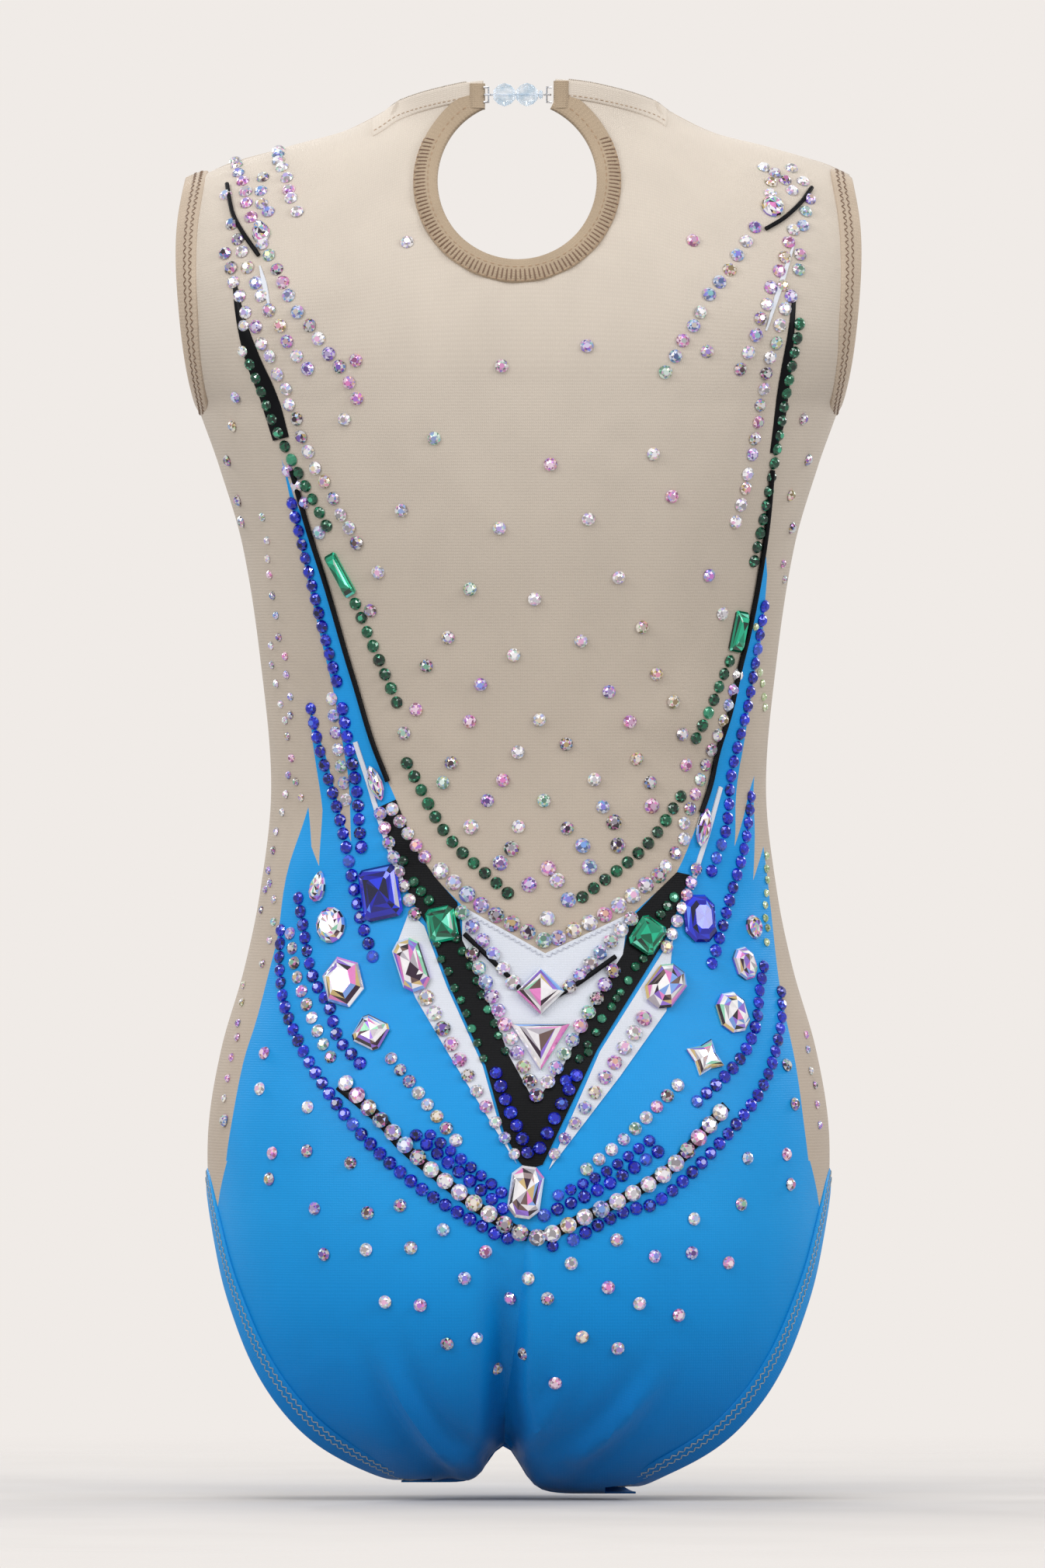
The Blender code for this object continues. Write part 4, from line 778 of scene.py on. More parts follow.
def leg_loop(side, sign):
    """Loop that takes away the cloth outside one leg hem, on the flat pattern."""
    frames = leg_frames(sign)
    back, front = len(spline(BACK_HEM, HEM_STEPS)), len(spline(FRONT_HEM, HEM_STEPS))
    frames = frames[:back + 1] if side < 0 else frames[:-front:-1]
    edge = [point + into * HEM_TUCK for point, into, _ in frames]
    s, t = to_flat(np.array([p.x for p in edge]), np.array([p.z for p in edge]), side)
    line = list(zip(s, t))
    reach = sign * (HALF_TURN + 30)
    if side < 0:
        line.append((line[-1][0] - sign * LOBE_ROUND[0], line[-1][1] - LOBE_ROUND[1]))
    outside = [(line[-1][0], BELOW_PATTERN), (reach, BELOW_PATTERN)]
    return densified([(reach, line[0][1])] + line + outside, CELL)


def keyhole_loop():
    """Keyhole and the gap between the two tabs, as a loop of (x, z) under the binding."""
    radius, start, tall = KEYHOLE_RADIUS + 2.0, TAB_ANGLE + 0.03, 1.35
    angles = np.linspace(start, 2 * math.pi - TAB_ANGLE - 0.03, 72)
    arc = [(KEYHOLE_X - radius * math.sin(a), KEYHOLE_Z + radius * math.cos(a)) for a in angles]
    return arc + [(KEYHOLE_X + (x - KEYHOLE_X) * tall, KEYHOLE_Z + (z - KEYHOLE_Z) * tall)
                  for x, z in (arc[-1], arc[0])]


def cut_flat(loop, side):
    """Loop of (x, z) that may leave the cloth: points above the shoulder stay outside the pattern."""
    points = np.array([tuple(p) for p in densified(loop, CELL)])
    s, t = to_flat(points[:, 0], points[:, 1], side)
    above = points[:, 1] - shoulder_height(points[:, 0])
    return [Vector(p) for p in zip(s, t + np.maximum(above, 0.0))]


def seat_outline():
    left = spline(SEAT_LEFT_EDGE, 4) + [Vector(p) for p in SEAT_LEFT_NOTCH + LEFT_OUTER_FLAME]
    left += spline(LEFT_OUTER_FLAME_INSIDE, 4) + spline(LEFT_INNER_FLAME, 4)
    left += spline(LEFT_NECKLINE, 4)
    right = spline(RIGHT_NECKLINE, 4) + [Vector(p) for p in RIGHT_FLAMES] + spline(SEAT_RIGHT_EDGE, 4)
    return left, Vector(NECKLINE_POINT), right


def hip_and_under(sign):
    """Lower edge of one seat panel on the flat pattern, from the hip down to the hem and in to the cleft."""
    x = np.array([sign * 103.0, sign * 105.6, sign * 107.6, CLEFT_X])
    s, t = to_flat(x, np.array([HIP_SEAM_Z, 107.0, 93.0, 30.0]), -1)
    low = SEAT_TURN - SEAT_ARC
    return list(zip(s[:3], t[:3])) + [(s[2], low), (s[3], low)]


def build_back():
    left, point, right = seat_outline()
    legs = [leg_loop(-1, -1), leg_loop(-1, 1)]
    seam = [Vector(p) for p in CENTRE_SEAM]
    left_edge, right_edge = opened(left + [point], -1), opened([point] + right, -1)
    middle = opened([point] + seam, -1)
    left_under, right_under = hip_and_under(-1), hip_and_under(1)
    left_loop = left_edge + middle[1:] + straight(left_under[::-1])
    right_loop = right_edge + straight(right_under) + middle[::-1][:-1]
    cloth_piece("seat_left", [left_loop], [legs[0]], -1, LOOKS["blue"])
    cloth_piece("seat_right", [right_loop], [legs[1]], -1, LOOKS["blue"])
    blue = left_edge + right_edge[1:] + straight(right_under[:4] + left_under[3::-1])
    whole = whole_side(SEAT_TURN - SEAT_ARC)
    holes = [blue, cut_flat(keyhole_loop(), -1)] + legs
    cloth_piece("back_mesh", [whole], holes, -1, LOOKS["mesh"])


def opened(line, side):
    """Polyline of (x, z) on the flat pattern, not closed."""
    points = np.array([tuple(p) for p in straight(line)])
    s, t = to_flat(points[:, 0], points[:, 1], side)
    return [Vector(p) for p in zip(s, t)]


def straight(corners):
    """Straight lines through corners, densified, without closing them."""
    result = []
    for a, b in zip(corners, corners[1:]):
        a, b = Vector(a), Vector(b)
        count = max(1, math.ceil((b - a).length / CELL))
        result += [a.lerp(b, i / count) for i in range(count)]
    return result + [Vector(corners[-1])]


def front_neck_arc(grow=0.0, count=40):
    angles = [math.pi * i / count for i in range(count + 1)]
    drop = NECK_SIDE_Z - FRONT_NECK_LOW + grow
    return [(SHOULDER_SHIFT + (FRONT_NECK_HALF + grow) * math.cos(a), NECK_SIDE_Z - drop * math.sin(a) ** 0.9)
            for a in angles]


def build_front():
    half = [Vector(p) for p in FRONT_HIP] + spline(FRONT_BLUE_SIDE, 4) + spline(FRONT_V, 4)[:-1]
    line = opened(half + [Vector(FRONT_V[-1])] + [Vector((-p.x, p.y)) for p in reversed(half)], 1)
    blue = line + straight([(line[-1].x, -40), (line[0].x, -40)])
    legs = [leg_loop(1, -1), leg_loop(1, 1)]
    reach = FRONT_NECK_HALF + 1.0
    neck = front_neck_arc(1.0) + [(SHOULDER_SHIFT - reach, 520), (SHOULDER_SHIFT + reach, 520)]
    whole = whole_side(to_flat(np.array([0.0]), np.array([GUSSET_SEAM]), 1)[1][0])
    cloth_piece("front_mesh", [whole], [blue, cut_flat(neck, 1)] + legs, 1, LOOKS["mesh"])
    cloth_piece("front_body", [blue_inside(blue, whole)], legs, 1, LOOKS["blue"])


def blue_inside(loop, whole):
    """The loop held inside the whole panel's limits."""
    limits = np.array([tuple(p) for p in whole])
    low, high = limits.min(axis=0), limits.max(axis=0)
    held = [Vector(np.clip(tuple(p), low, high)) for p in loop]
    result = [held[0]]
    for p in held[1:]:
        if (p - result[-1]).length > 0.2:
            result.append(p)
    return result


def gusset_point(across, back, half_sizes=GUSSET_HALF_WIDTHS):
    """Point of the gusset. Back runs from 0 at the front seam to 1 under the seat."""
    turn = 0.45
    stations = tuple(zip(GUSSET_STATIONS, half_sizes))
    x = through(stations, back) * (2 * across - 1)
    if back < turn:
        z = FRONT_LOW + SKIN + (GUSSET_SEAM - FRONT_LOW) * (1 - back / turn) ** 2
        return Vector((x, float(front_y(np.array(x), np.array(z))), z))
    share = (back - turn) / (1 - turn)
    y = FRONT_UNDER_Y - (FRONT_UNDER_Y + UNDER_Y) * share
    low = float(seat_low(np.array(x)))
    return Vector((x, y, FRONT_LOW + (low - FRONT_LOW) * float(smooth_step(share))))


def build_gusset():
    columns, rows = GUSSET_COLUMNS, GUSSET_ROWS
    sizes = tuple(width - HEM_TUCK for width in GUSSET_HALF_WIDTHS)
    grid = [(j, i) for i in range(rows + 1) for j in range(columns + 1)]
    points = np.array([tuple(gusset_point(j / columns, i / rows, sizes)) for j, i in grid])
    faces = []
    for i in range(rows):
        for j in range(columns):
            a, b = i * (columns + 1) + j, (i + 1) * (columns + 1) + j
            faces += [(a, a + 1, b + 1), (a, b + 1, b)]
    down = np.tile(np.array([0.0, 0.0, -1.0]), (len(points), 1))
    flat = np.array([(j * GUSSET_PITCH, i * GUSSET_PITCH) for j, i in grid])
    sheet("gusset", points, np.array(faces), flat, CLOTH, LOOKS["blue"], down)


# ---------------------------------------------------------------- bindings and stitches


def frames_along(points, normals, toward, closed):
    """Frames (point, into the cloth, outward), where into points along toward(point)."""
    frames = []
    last = len(points) - 1
    for i, point in enumerate(points):
        ahead = points[(i + 1) % len(points)] if closed else points[min(i + 1, last)]
        behind = points[i - 1] if closed else points[max(i - 1, 0)]
        along = (ahead - behind).normalized()
        out = (normals[i] - along * normals[i].dot(along)).normalized()
        into = out.cross(along).normalized()
        if into.dot(toward(point)) < 0:
            into.negate()
        frames.append((point, into, out))
    return frames


def relaxed(vectors, closed, rounds, unit=True):
    """Averages each vector with its neighbours."""
    last = len(vectors) - 1
    for _ in range(rounds):
        mixed = [(vectors[i - 1 if closed else max(i - 1, 0)] + vectors[i] * 2
                  + vectors[(i + 1) % len(vectors) if closed else min(i + 1, last)]) / 4
                 for i in range(len(vectors))]
        if not unit and not closed:
            mixed[0], mixed[-1] = vectors[0], vectors[-1]
        vectors = [v.normalized() for v in mixed] if unit else mixed
    return vectors


def cloth_place(x, z, side):
    """One point of the cloth and its normal, as vectors."""
    points, normals = on_cloth(x, z, side)
    return Vector(points[0]), Vector(normals[0])


def keyhole_frames():
    count = 96
    angles = [TAB_ANGLE + (2 * math.pi - 2 * TAB_ANGLE) * i / count for i in range(count + 1)]
    radius = KEYHOLE_RADIUS
    made = [cloth_place(KEYHOLE_X - radius * math.sin(a), KEYHOLE_Z + radius * math.cos(a),
                        -1) for a in angles]
    normals = relaxed([n for _, n in made], False, 12)
    return frames_along([p for p, _ in made], normals,
                        lambda p: Vector((p.x - KEYHOLE_X, 0, p.z - KEYHOLE_Z)), False)


def armhole_frames(sign):
    count = 48
    points, normals = [], []
    for side in (-1, 1):
        for i in range(count):
            share = (i + 0.5) / count
            angle = math.pi * (share if side < 0 else 1 - share)
            z = ARMHOLE_BOTTOM + (ARMHOLE_TOP - ARMHOLE_BOTTOM) * (0.5 - 0.5 * math.cos(angle)) - 0.2
            x = sign * (float(half_width(z)) - 0.05)
            point, normal = cloth_place(x, z, side)
            points.append(point)
            normals.append(normal)
    points = relaxed(points, True, 8, False)
    normals = relaxed(normals, True, 16)
    middle = (ARMHOLE_BOTTOM + ARMHOLE_TOP) / 2
    return frames_along(points, normals, lambda p: Vector((-sign * 40.0, p.y, p.z - middle)), True)


def leg_frames(sign):
    points, normals = [], []
    for x, z in spline(BACK_HEM, HEM_STEPS):
        point, normal = cloth_place(sign * x, z, -1)
        points.append(point)
        normals.append(normal)
    for i in range(25):
        back = 0.97 - 0.94 * i / 24
        points.append(gusset_point(1.0 if sign > 0 else 0.0, back))
        normals.append(Vector((0, 0.35 * (1 - back), -1)).normalized())
    for x, z in reversed(spline(FRONT_HEM, HEM_STEPS)[1:]):
        point, normal = cloth_place(sign * x, z, 1)
        points.append(point)
        normals.append(normal)
    points = relaxed(points, True, 14, False)
    normals = relaxed(normals, True, 30)
    centre = Vector((sign * 112, -2, 50))
    return frames_along(points, normals, lambda p: p - centre, True)


def neck_frames():
    back = [(offset, float(shoulder_height(SHOULDER_SHIFT + offset)) - 1.0) for offset in (45, 49)]
    points, normals = [], []
    for offset, z in back:
        point, normal = cloth_place(SHOULDER_SHIFT - offset, z, -1)
        points.append(point)
        normals.append(normal)
    for x, z in reversed(front_neck_arc(0.0, 18)):
        point, _ = cloth_place(x, z, 1)
        points.append(point)
        normals.append(Vector(outward(np.array([x]), np.array([z - 2.0]), 1)[0]))
    for offset, z in reversed(back):
        point, normal = cloth_place(SHOULDER_SHIFT + offset, z, -1)
        points.append(point)
        normals.append(normal)
    points = spline(relaxed(points, False, 5, False), 5)
    normals = relaxed(spline(normals, 5), False, 60)
    centre = Vector((SHOULDER_SHIFT, 0, NECK_SIDE_Z + 25))
    return frames_along(points, normals, lambda p: p - centre, False)


def band_profile(width, half=1.05):
    """Folded band: round fold at the edge, a soft crown, and a thin inner edge."""
    upper = [(-0.75, 0.0), (-0.62, 0.5 * half), (-0.25, 0.88 * half), (0.4, half), (0.3 * width, 1.12 * half),
             (0.62 * width, 1.1 * half), (0.88 * width, 0.9 * half), (width - 0.25, 0.62 * half),
             (width, 0.3 * half)]
    return upper + [(u, -n) for u, n in reversed(upper[1:])]


def surface_band(name, path, across, profile, look):
    """Band that lies on the back along a path of (x, z). Its profile runs in the direction across."""
    rows = [(x + across[0] * u, z + across[1] * u, n, u, i) for i, (x, z) in enumerate(path) for u,
            n in profile]
    x, z, lift, u, order = (np.array(column, float) for column in zip(*rows))
    points, _ = on_cloth(x, z, -1, lift)
    faces = facing_out(points, ring_faces(len(path), len(profile)), points[:len(profile)].mean(axis=0))
    obj = make_mesh(name, points, faces, look, sharp=50)
    set_pattern(obj, np.stack([u, order * NECK_STEP, np.zeros_like(u)], axis=-1))


def neck_back_path(sign):
    """Top edge of the back from one tab out to the side of the neck."""
    xs = np.arange(TAB_X, SIDE_OF_NECK, NECK_STEP) * sign + (0.5 if sign > 0 else 0.0)
    return [(x, float(shoulder_height(x)) - 1.2) for x in xs]


def build_neck():
    """Neck binding: a band round the front, bands that lie on the back, and an end piece on each tab."""
    neck, mesh = neck_frames(), LOOKS["mesh"]
    band = swept("neck_band", neck, band_profile(NECK_WIDTH, 1.15), False, mesh)
    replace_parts(band, "neck_binding")
    stitches = zigzag(neck[3:-3], False, NECK_WIDTH - 1.6, 0.6, 1.3, 1.0)
    for suffix, sign in (("_left", -1), ("_right", 1)):
        path = neck_back_path(sign)
        surface_band("neck_edge" + suffix, path, (0, -1), band_profile(NECK_WIDTH, 0.8), mesh)
        tab = [(path[0][0], TAB_LOW + TAB_STEP * i) for i in range(TAB_STEPS)]
        tab = [(x, z) for x, z in tab if z < path[0][1] + 0.5]
        surface_band("tab_end" + suffix, tab, (sign, 0), band_profile(TAB_WIDTH, 1.5), LOOKS["tan"])
        lower = [(x, z - NECK_WIDTH + 1.2) for x, z in path]
        points, normals = on_cloth([x for x, _ in lower], [z for _, z in lower], -1, 0.75)
        frames = [(Vector(p), Vector((0, 0, -1)), Vector(n)) for p, n in zip(points, normals)]
        stitches += running(frames, 0.0, 2.0, 0.0)
    thread_mesh("neck_stitches", stitches, 0.16, LOOKS["tan_thread"])


def resampled(frames, closed, step):
    """Frames at even distances along a path of frames."""
    ring = frames + [frames[0]] if closed else frames
    lengths = [0.0]
    for a, b in zip(ring, ring[1:]):
        lengths.append(lengths[-1] + (b[0] - a[0]).length)
    count = max(2, round(lengths[-1] / step))
    result, index = [], 0
    for i in range(count if closed else count + 1):
        at = lengths[-1] * i / count
        while index < len(lengths) - 2 and lengths[index + 1] < at:
            index += 1
        share = (at - lengths[index]) / max(lengths[index + 1] - lengths[index], 1e-9)
        a, b = ring[index], ring[index + 1]
        result.append(tuple(a[k].lerp(b[k], share) for k in range(3)))
    return result


def thread_mesh(name, stitches, radius, look):
    """Short thread tubes with tapered ends, one for each stitch: a list of points. All are one mesh."""
    sides = 5
    points, faces = [], []
    for path in stitches:
        first = len(points)
        last = len(path) - 1
        along = (path[-1] - path[0]).normalized()
        one = along.orthogonal().normalized()
        two = along.cross(one)
        for i, place in enumerate(path):
            size = radius * (0.45 if i in (0, last) else 1.0)
            for j in range(sides):
                angle = 2 * math.pi * j / sides
                points.append(place + one * size * math.cos(angle) + two * size * math.sin(angle))
        faces += [tuple(first + k for k in face) for face in ring_faces(len(path), sides)]
    make_mesh(name, np.array([tuple(p) for p in points]), faces, look, sharp=60)


def stitch_pairs(frames, closed, pitch):
    """Pairs of neighbouring frames at an even pitch."""
    places = resampled(frames, closed, pitch)
    return zip(places, places[1:] + places[:1]) if closed else zip(places, places[1:])


def zigzag(frames, closed, offset, swing, pitch, lift):
    """Zigzag stitches round a path, offset from its edge, each with a small hump."""
    stitches = []
    for i, ((p0, u0, n0), (p1, u1, n1)) in enumerate(stitch_pairs(frames, closed, pitch)):
        side = 1 if i % 2 else -1
        start = p0 + u0 * (offset - side * swing) + n0 * lift
        end = p1 + u1 * (offset + side * swing) + n1 * lift
        rise = (n0 + n1) * 0.08
        stitches.append([start, start.lerp(end, 0.25) + rise, start.lerp(end, 0.75) + rise, end])
    return stitches


def radial(frames, low, high, pitch, lift):
    """Stitches across an open band, as overlock makes them."""
    stitches = []
    for i, (p, u, n) in enumerate(resampled(frames, False, pitch)):
        reach = high + (0.35 if i % 2 else -0.2)
        start, end = p + u * low + n * lift, p + u * reach + n * (lift - 0.15)
        rise = n * 0.12
        stitches.append([start, start.lerp(end, 0.2) + rise, start.lerp(end, 0.8) + rise, end])
    return stitches


def running(frames, offset, pitch, lift, share=0.7):
    """Straight running stitches along an open path."""
    stitches = []
    for (p0, u0, n0), (p1, u1, n1) in stitch_pairs(frames, False, pitch):
        start = p0 + u0 * offset + n0 * lift
        end = start.lerp(p1 + u1 * offset + n1 * lift, share)
        stitches.append([start, start.lerp(end, 0.3) + n0 * 0.1, start.lerp(end, 0.7) + n0 * 0.1, end])
    return stitches


def build_bindings():
    keyhole, thread = keyhole_frames(), LOOKS["brown_thread"]
    band = swept("keyhole_band", keyhole, band_profile(KEYHOLE_WIDTH, 1.3), False, LOOKS["tan"])
    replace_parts(band, "keyhole_binding")
    low_part = keyhole[12:-12]
    overlock = radial(low_part, 3.1, KEYHOLE_WIDTH - 0.6, 1.35, 1.25)
    thread_mesh("keyhole_overlock", overlock, 0.34, thread)
    edge = running(low_part, KEYHOLE_WIDTH - 0.4, 1.35, 0.9, 0.8) + running(keyhole[3:-3], 2.6, 2.4, 1.35)
    thread_mesh("keyhole_edge_stitches", edge, 0.24, LOOKS["tan_thread"])
    for suffix, sign in (("_left", -1), ("_right", 1)):
        arm, leg = armhole_frames(sign), leg_frames(sign)
        band = swept("arm_band" + suffix, arm, band_profile(ARM_WIDTH), True, LOOKS["arm_tan"])
        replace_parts(band, "armhole_binding" + suffix)
        lines = zigzag(arm, True, ARM_WIDTH - 2.2, 0.75, 1.2, 1.0)
        lines += zigzag(arm, True, ARM_WIDTH - 4.4, 0.6, 1.4, 1.15)
        thread_mesh("arm_stitches" + suffix, lines, 0.2, thread)
        band = swept("leg_band" + suffix, leg, band_profile(HEM_WIDTH, 0.95), True, LOOKS["blue"])
        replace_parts(band, "leg_hem" + suffix)
        lines = zigzag(leg, True, HEM_WIDTH - 1.6, 0.7, 1.35, 0.85)
        lines += zigzag(leg, True, HEM_WIDTH - 3.9, 0.7, 1.35, 1.0)
        thread_mesh("leg_stitches" + suffix, lines, 0.2, LOOKS["grey_thread"])


# ---------------------------------------------------------------- appliques


def surface_frames(path, side, steps, lift):
    """Frames along an (x, z) path on the cloth, with into across the path."""
    line = spline(path, steps)
    x, z = np.array([p.x for p in line]), np.array([p.y for p in line])
    points, normals = on_cloth(x, z, side, lift)
    points, normals = [Vector(p) for p in points], [Vector(n) for n in normals]
    frames = []
    last = len(points) - 1
    for i, point in enumerate(points):
        along = (points[min(i + 1, last)] - points[max(i - 1, 0)]).normalized()
        out = (normals[i] - along * normals[i].dot(along)).normalized()
        frames.append((point, out.cross(along).normalized(), out))
    return frames


def ribbon(name, path, widths, look, side=-1, steps=8):
    """Flat band with turned edges along a path. Widths are one value, or one for each point of the path."""
    frames = surface_frames(path, side, steps, 0.3)
    if isinstance(widths, tuple):
        sizes = [v.x for v in spline([(w, 0) for w in widths], steps)]
    else:
        sizes = [widths] * len(frames)
    points = [tuple(point + into * u * size + out * n) for (point, into, out), size in zip(frames, sizes)
              for u, n in RIBBON_PROFILE]
    return make_mesh(name, points, ring_faces(len(frames), len(RIBBON_PROFILE)), look, sharp=50)


RIBBON_PROFILE = ((-0.5, -0.25), (-0.5, 0.1), (-0.44, 0.28), (0.0, 0.34), (0.44, 0.28), (0.5, 0.1),
                  (0.5, -0.25))


def round_cord(name, path, radius, lift):
    frames = surface_frames(path, -1, 10, lift + radius)
    return swept(name, frames, circle_profile(radius), False, LOOKS["black"])


def applique(name, outline, look, lift):
    return cloth_piece(name, [flat_loop(outline, -1, 1.8)], [], -1, look, lift, 0.5, 2.0)


def mirrored(path):
    return tuple((-x, z) for x, z in path)


def front_neckline(drop):
    """The front V from side to side, moved down."""
    half = tuple((x, z - drop) for x, z in FRONT_V)
    return half + mirrored(half[:-1])[::-1]


def build_appliques():
    white = LOOKS["white"]
    band = V_LEFT_OUTER + V_TIP + V_RIGHT_OUTER + V_RIGHT_INNER + (V_INNER_POINT,) + V_LEFT_INNER
    insert = INSERT_TOP + V_RIGHT_INNER[3:] + (V_INNER_POINT,) + V_LEFT_INNER[:3]
    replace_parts(applique("v_band", band, LOOKS["black"], 0.5), "black_v_band")
    for name, outline, node in (("v_insert", insert, "white_insert"),
                                ("v_stripe_left", WHITE_LEFT_STRIPE, "white_stripe_left"),
                                ("v_stripe_right", WHITE_RIGHT_STRIPE, "white_stripe_right")):
        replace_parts(applique(name, outline, white, 0.42), node)
    for name, path in (("insert_stitches", INSERT_TOP[:2]), ("insert_stitches_right", INSERT_TOP[1:])):
        stitches = zigzag(surface_frames(path, -1, 8, ON_APPLIQUE), False, -1.4, 0.55, 1.1, 0.0)
        thread_mesh(name, stitches, 0.13, LOOKS["white_thread"])
    for name, path, radius, lift, node in (
            ("chevron_line", CHEVRON, 0.9, 0.5, "chevron_cord"),
            ("cord_left", LEFT_CORD, 0.95, 0.0, "black_cord_left"),
            ("cord_right", RIGHT_CORD, 0.95, 0.0, "black_cord_right"),
            ("shoulder_line_left", LEFT_SHOULDER_CORD, 0.8, 0.0, "shoulder_cord_left"),
            ("shoulder_line_right", RIGHT_SHOULDER_CORD, 0.8, 0.0, "shoulder_cord_right")):
        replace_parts(round_cord(name, path, radius, lift), node)
    front_widths = (6.0, 5.0, 4.0, 3.2, 2.4)
    for name, path, widths, side, node in (
            ("strap_left", LEFT_STRAP, (7.0, 7.5, 6.0, 3.0, 1.2), -1, "black_strap_left"),
            ("strap_right", RIGHT_STRAP, (2.5, 5.0, 4.5, 2.4, 1.2), -1, "black_strap_right"),
            ("arc_left", LEFT_ARC, 4.0, -1, "arc_band_left"),
            ("arc_right", RIGHT_ARC, 4.0, -1, "arc_band_right"),
            ("front_shoulder_strap_left", mirrored(FRONT_STRAP), front_widths, 1, "front_strap_left"),
            ("front_shoulder_strap_right", FRONT_STRAP, front_widths, 1, "front_strap_right"),
            ("front_v_line", front_neckline(5), 6.0, 1, "front_v_band")):
        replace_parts(ribbon(name, path, widths, LOOKS["black"], side), node)
    for name, path, widths in (
            ("white_piping_left", ((-57.4, 266), (-52, 248), (-46, 230), (-41, 216)), 1.8),
            ("white_piping_right", ((71.6, 250), (67, 236), (61, 214)), 1.8),
            ("white_shoulder_left", ((-91.4, 434), (-89.5, 427), (-87.4, 419)), (0.6, 1.8, 0.6)),
            ("white_shoulder_right", ((97.2, 442), (92.5, 427), (87, 411)), (0.6, 1.9, 0.6))):
        ribbon(name, path, widths, white, steps=6)


# ---------------------------------------------------------------- stones

# Facet colours with their weights: the stones' own colours, with painted highlights in the palest entries and
# painted dark reflections in the darkest.
PALETTES = {
    "crystal": (((252, 250, 254), 26), ((186, 182, 192), 12), ((236, 140, 206), 11), ((150, 116, 222), 10),
                ((128, 172, 240), 8), ((150, 220, 186), 5), ((222, 196, 136), 7), ((48, 42, 60), 15),
                ((116, 96, 92), 6)),
    "sapphire": (((14, 22, 176), 30), ((6, 8, 112), 26), ((28, 52, 222), 24), ((96, 140, 255), 5),
                 ((2, 3, 54), 15)),
    "bright_emerald": (((0, 150, 112), 30), ((20, 196, 150), 16), ((0, 96, 68), 30), ((120, 236, 204), 6),
                       ((0, 40, 28), 18)),
    "emerald": (((0, 76, 50), 30), ((0, 44, 30), 28), ((6, 112, 76), 18), ((90, 214, 168), 5),
                ((0, 18, 13), 19)),
    "pale_green": (((196, 214, 170), 40), ((150, 178, 120), 25), ((238, 242, 220), 25), ((84, 96, 60), 10)),
}
LARGE_PALETTES = {"emerald": "bright_emerald"}
SHARED_TINT = 0.35
OVERLAP = 0.78
LEAN = 0.09
PLACED = []
GROUPS = {}
random.seed(7)


def facet_color(kind):
    colors = PALETTES[kind]
    picked = random.choices([c for c, _ in colors], [w for _, w in colors])[0]
    # random brightness of each facet: painted light and shade on the facets
    shade = random.uniform(0.85, 1.08)
    return tuple(min(1.0, v * shade) for v in srgb(*picked))


def chaton():
    """Round brilliant of radius 1: base, girdle, crown facets and table."""
    rings = ((16, 0.94, 0.0, 0.0), (16, 1.0, 0.2, 0.0), (8, 0.74, 0.58, 0.5), (8, 0.42, 0.78, 1.0))
    points, starts = [], []
    for count, radius, height, turn in rings:
        starts.append(len(points))
        for i in range(count):
            angle = 2 * math.pi * (i + turn) / count
            points.append((radius * math.cos(angle), radius * math.sin(angle), height))
    base, girdle, crown, table = starts
    faces = [tuple(range(15, -1, -1))]
    faces += [(base + i, base + (i + 1) % 16, girdle + (i + 1) % 16, girdle + i) for i in range(16)]
    for i in range(8):
        j, k = (2 * i + 1) % 16, (2 * i + 2) % 16
        after = (i + 1) % 8
        faces += [(girdle + 2 * i, girdle + j, crown + i), (girdle + j, girdle + k, crown + i),
                  (crown + i, girdle + k, crown + after), (crown + i, crown + after, table + i),
                  (table + i, crown + after, table + after)]
    faces.append(tuple(range(table, table + 8)))
    return np.array(points), faces


CHATON_POINTS, CHATON_FACES = chaton()


def clear_of(point, radius):
    """False where a stone would sit on one that is already there."""
    return all((place - point).length_squared >= ((radius + size) * OVERLAP) ** 2 for place, size in PLACED)


def place_stone(group, kind, x, z, radius, side=-1, lift=ON_CLOTH, look=None):
    """Adds one round stone at (x, z), unless it would leave the outline or meet another."""
    points, normals = on_cloth(x, z, side, lift)
    point, normal = Vector(points[0]), Vector(normals[0])
    if abs(x) > half_width(z) - EDGE_MARGIN or not clear_of(point, radius):
        return
    PLACED.append((point, radius))
    tilt = Vector((random.uniform(-1, 1), random.uniform(-1, 1), random.uniform(-1, 1))) * LEAN
    normal = (normal + tilt).normalized()
    one = normal.orthogonal().normalized()
    two = normal.cross(one)
    turn = random.uniform(0, math.pi)
    e1 = one * math.cos(turn) + two * math.sin(turn)
    e2 = normal.cross(e1)
    basis = np.array([tuple(e1), tuple(e2), tuple(normal)]) * radius
    stones = GROUPS.setdefault(group, {"points": [], "faces": [], "colors": [], "kind": look or kind})
    offset = len(stones["points"]) * len(CHATON_POINTS)
    stones["points"].append(CHATON_POINTS @ basis + np.array(tuple(point)))
    stones["faces"] += [tuple(i + offset for i in face) for face in CHATON_FACES]
    # the stone's shared tint and each facet's own pick both come from the palettes, with their painted
    # highlights and dark reflections
    tint = facet_color(kind)
    for _ in CHATON_FACES:
        own = facet_color(kind)
        stones["colors"].append(tuple(SHARED_TINT * t + (1 - SHARED_TINT) * c for t, c in zip(tint, own)))


def even_places(path, spacing, side):
    """(x, z) at even distances on the cloth along a path."""
    line = spline(path, 8)
    x, z = np.array([p.x for p in line]), np.array([p.y for p in line])
    points, _ = on_cloth(x, z, side)
    lengths = np.concatenate([[0], np.cumsum(np.linalg.norm(np.diff(points, axis=0), axis=1))])
    count = max(1, int(lengths[-1] / spacing))
    at = np.linspace(0, lengths[-1], count + 1)
    return list(zip(np.interp(at, lengths, x), np.interp(at, lengths, z)))


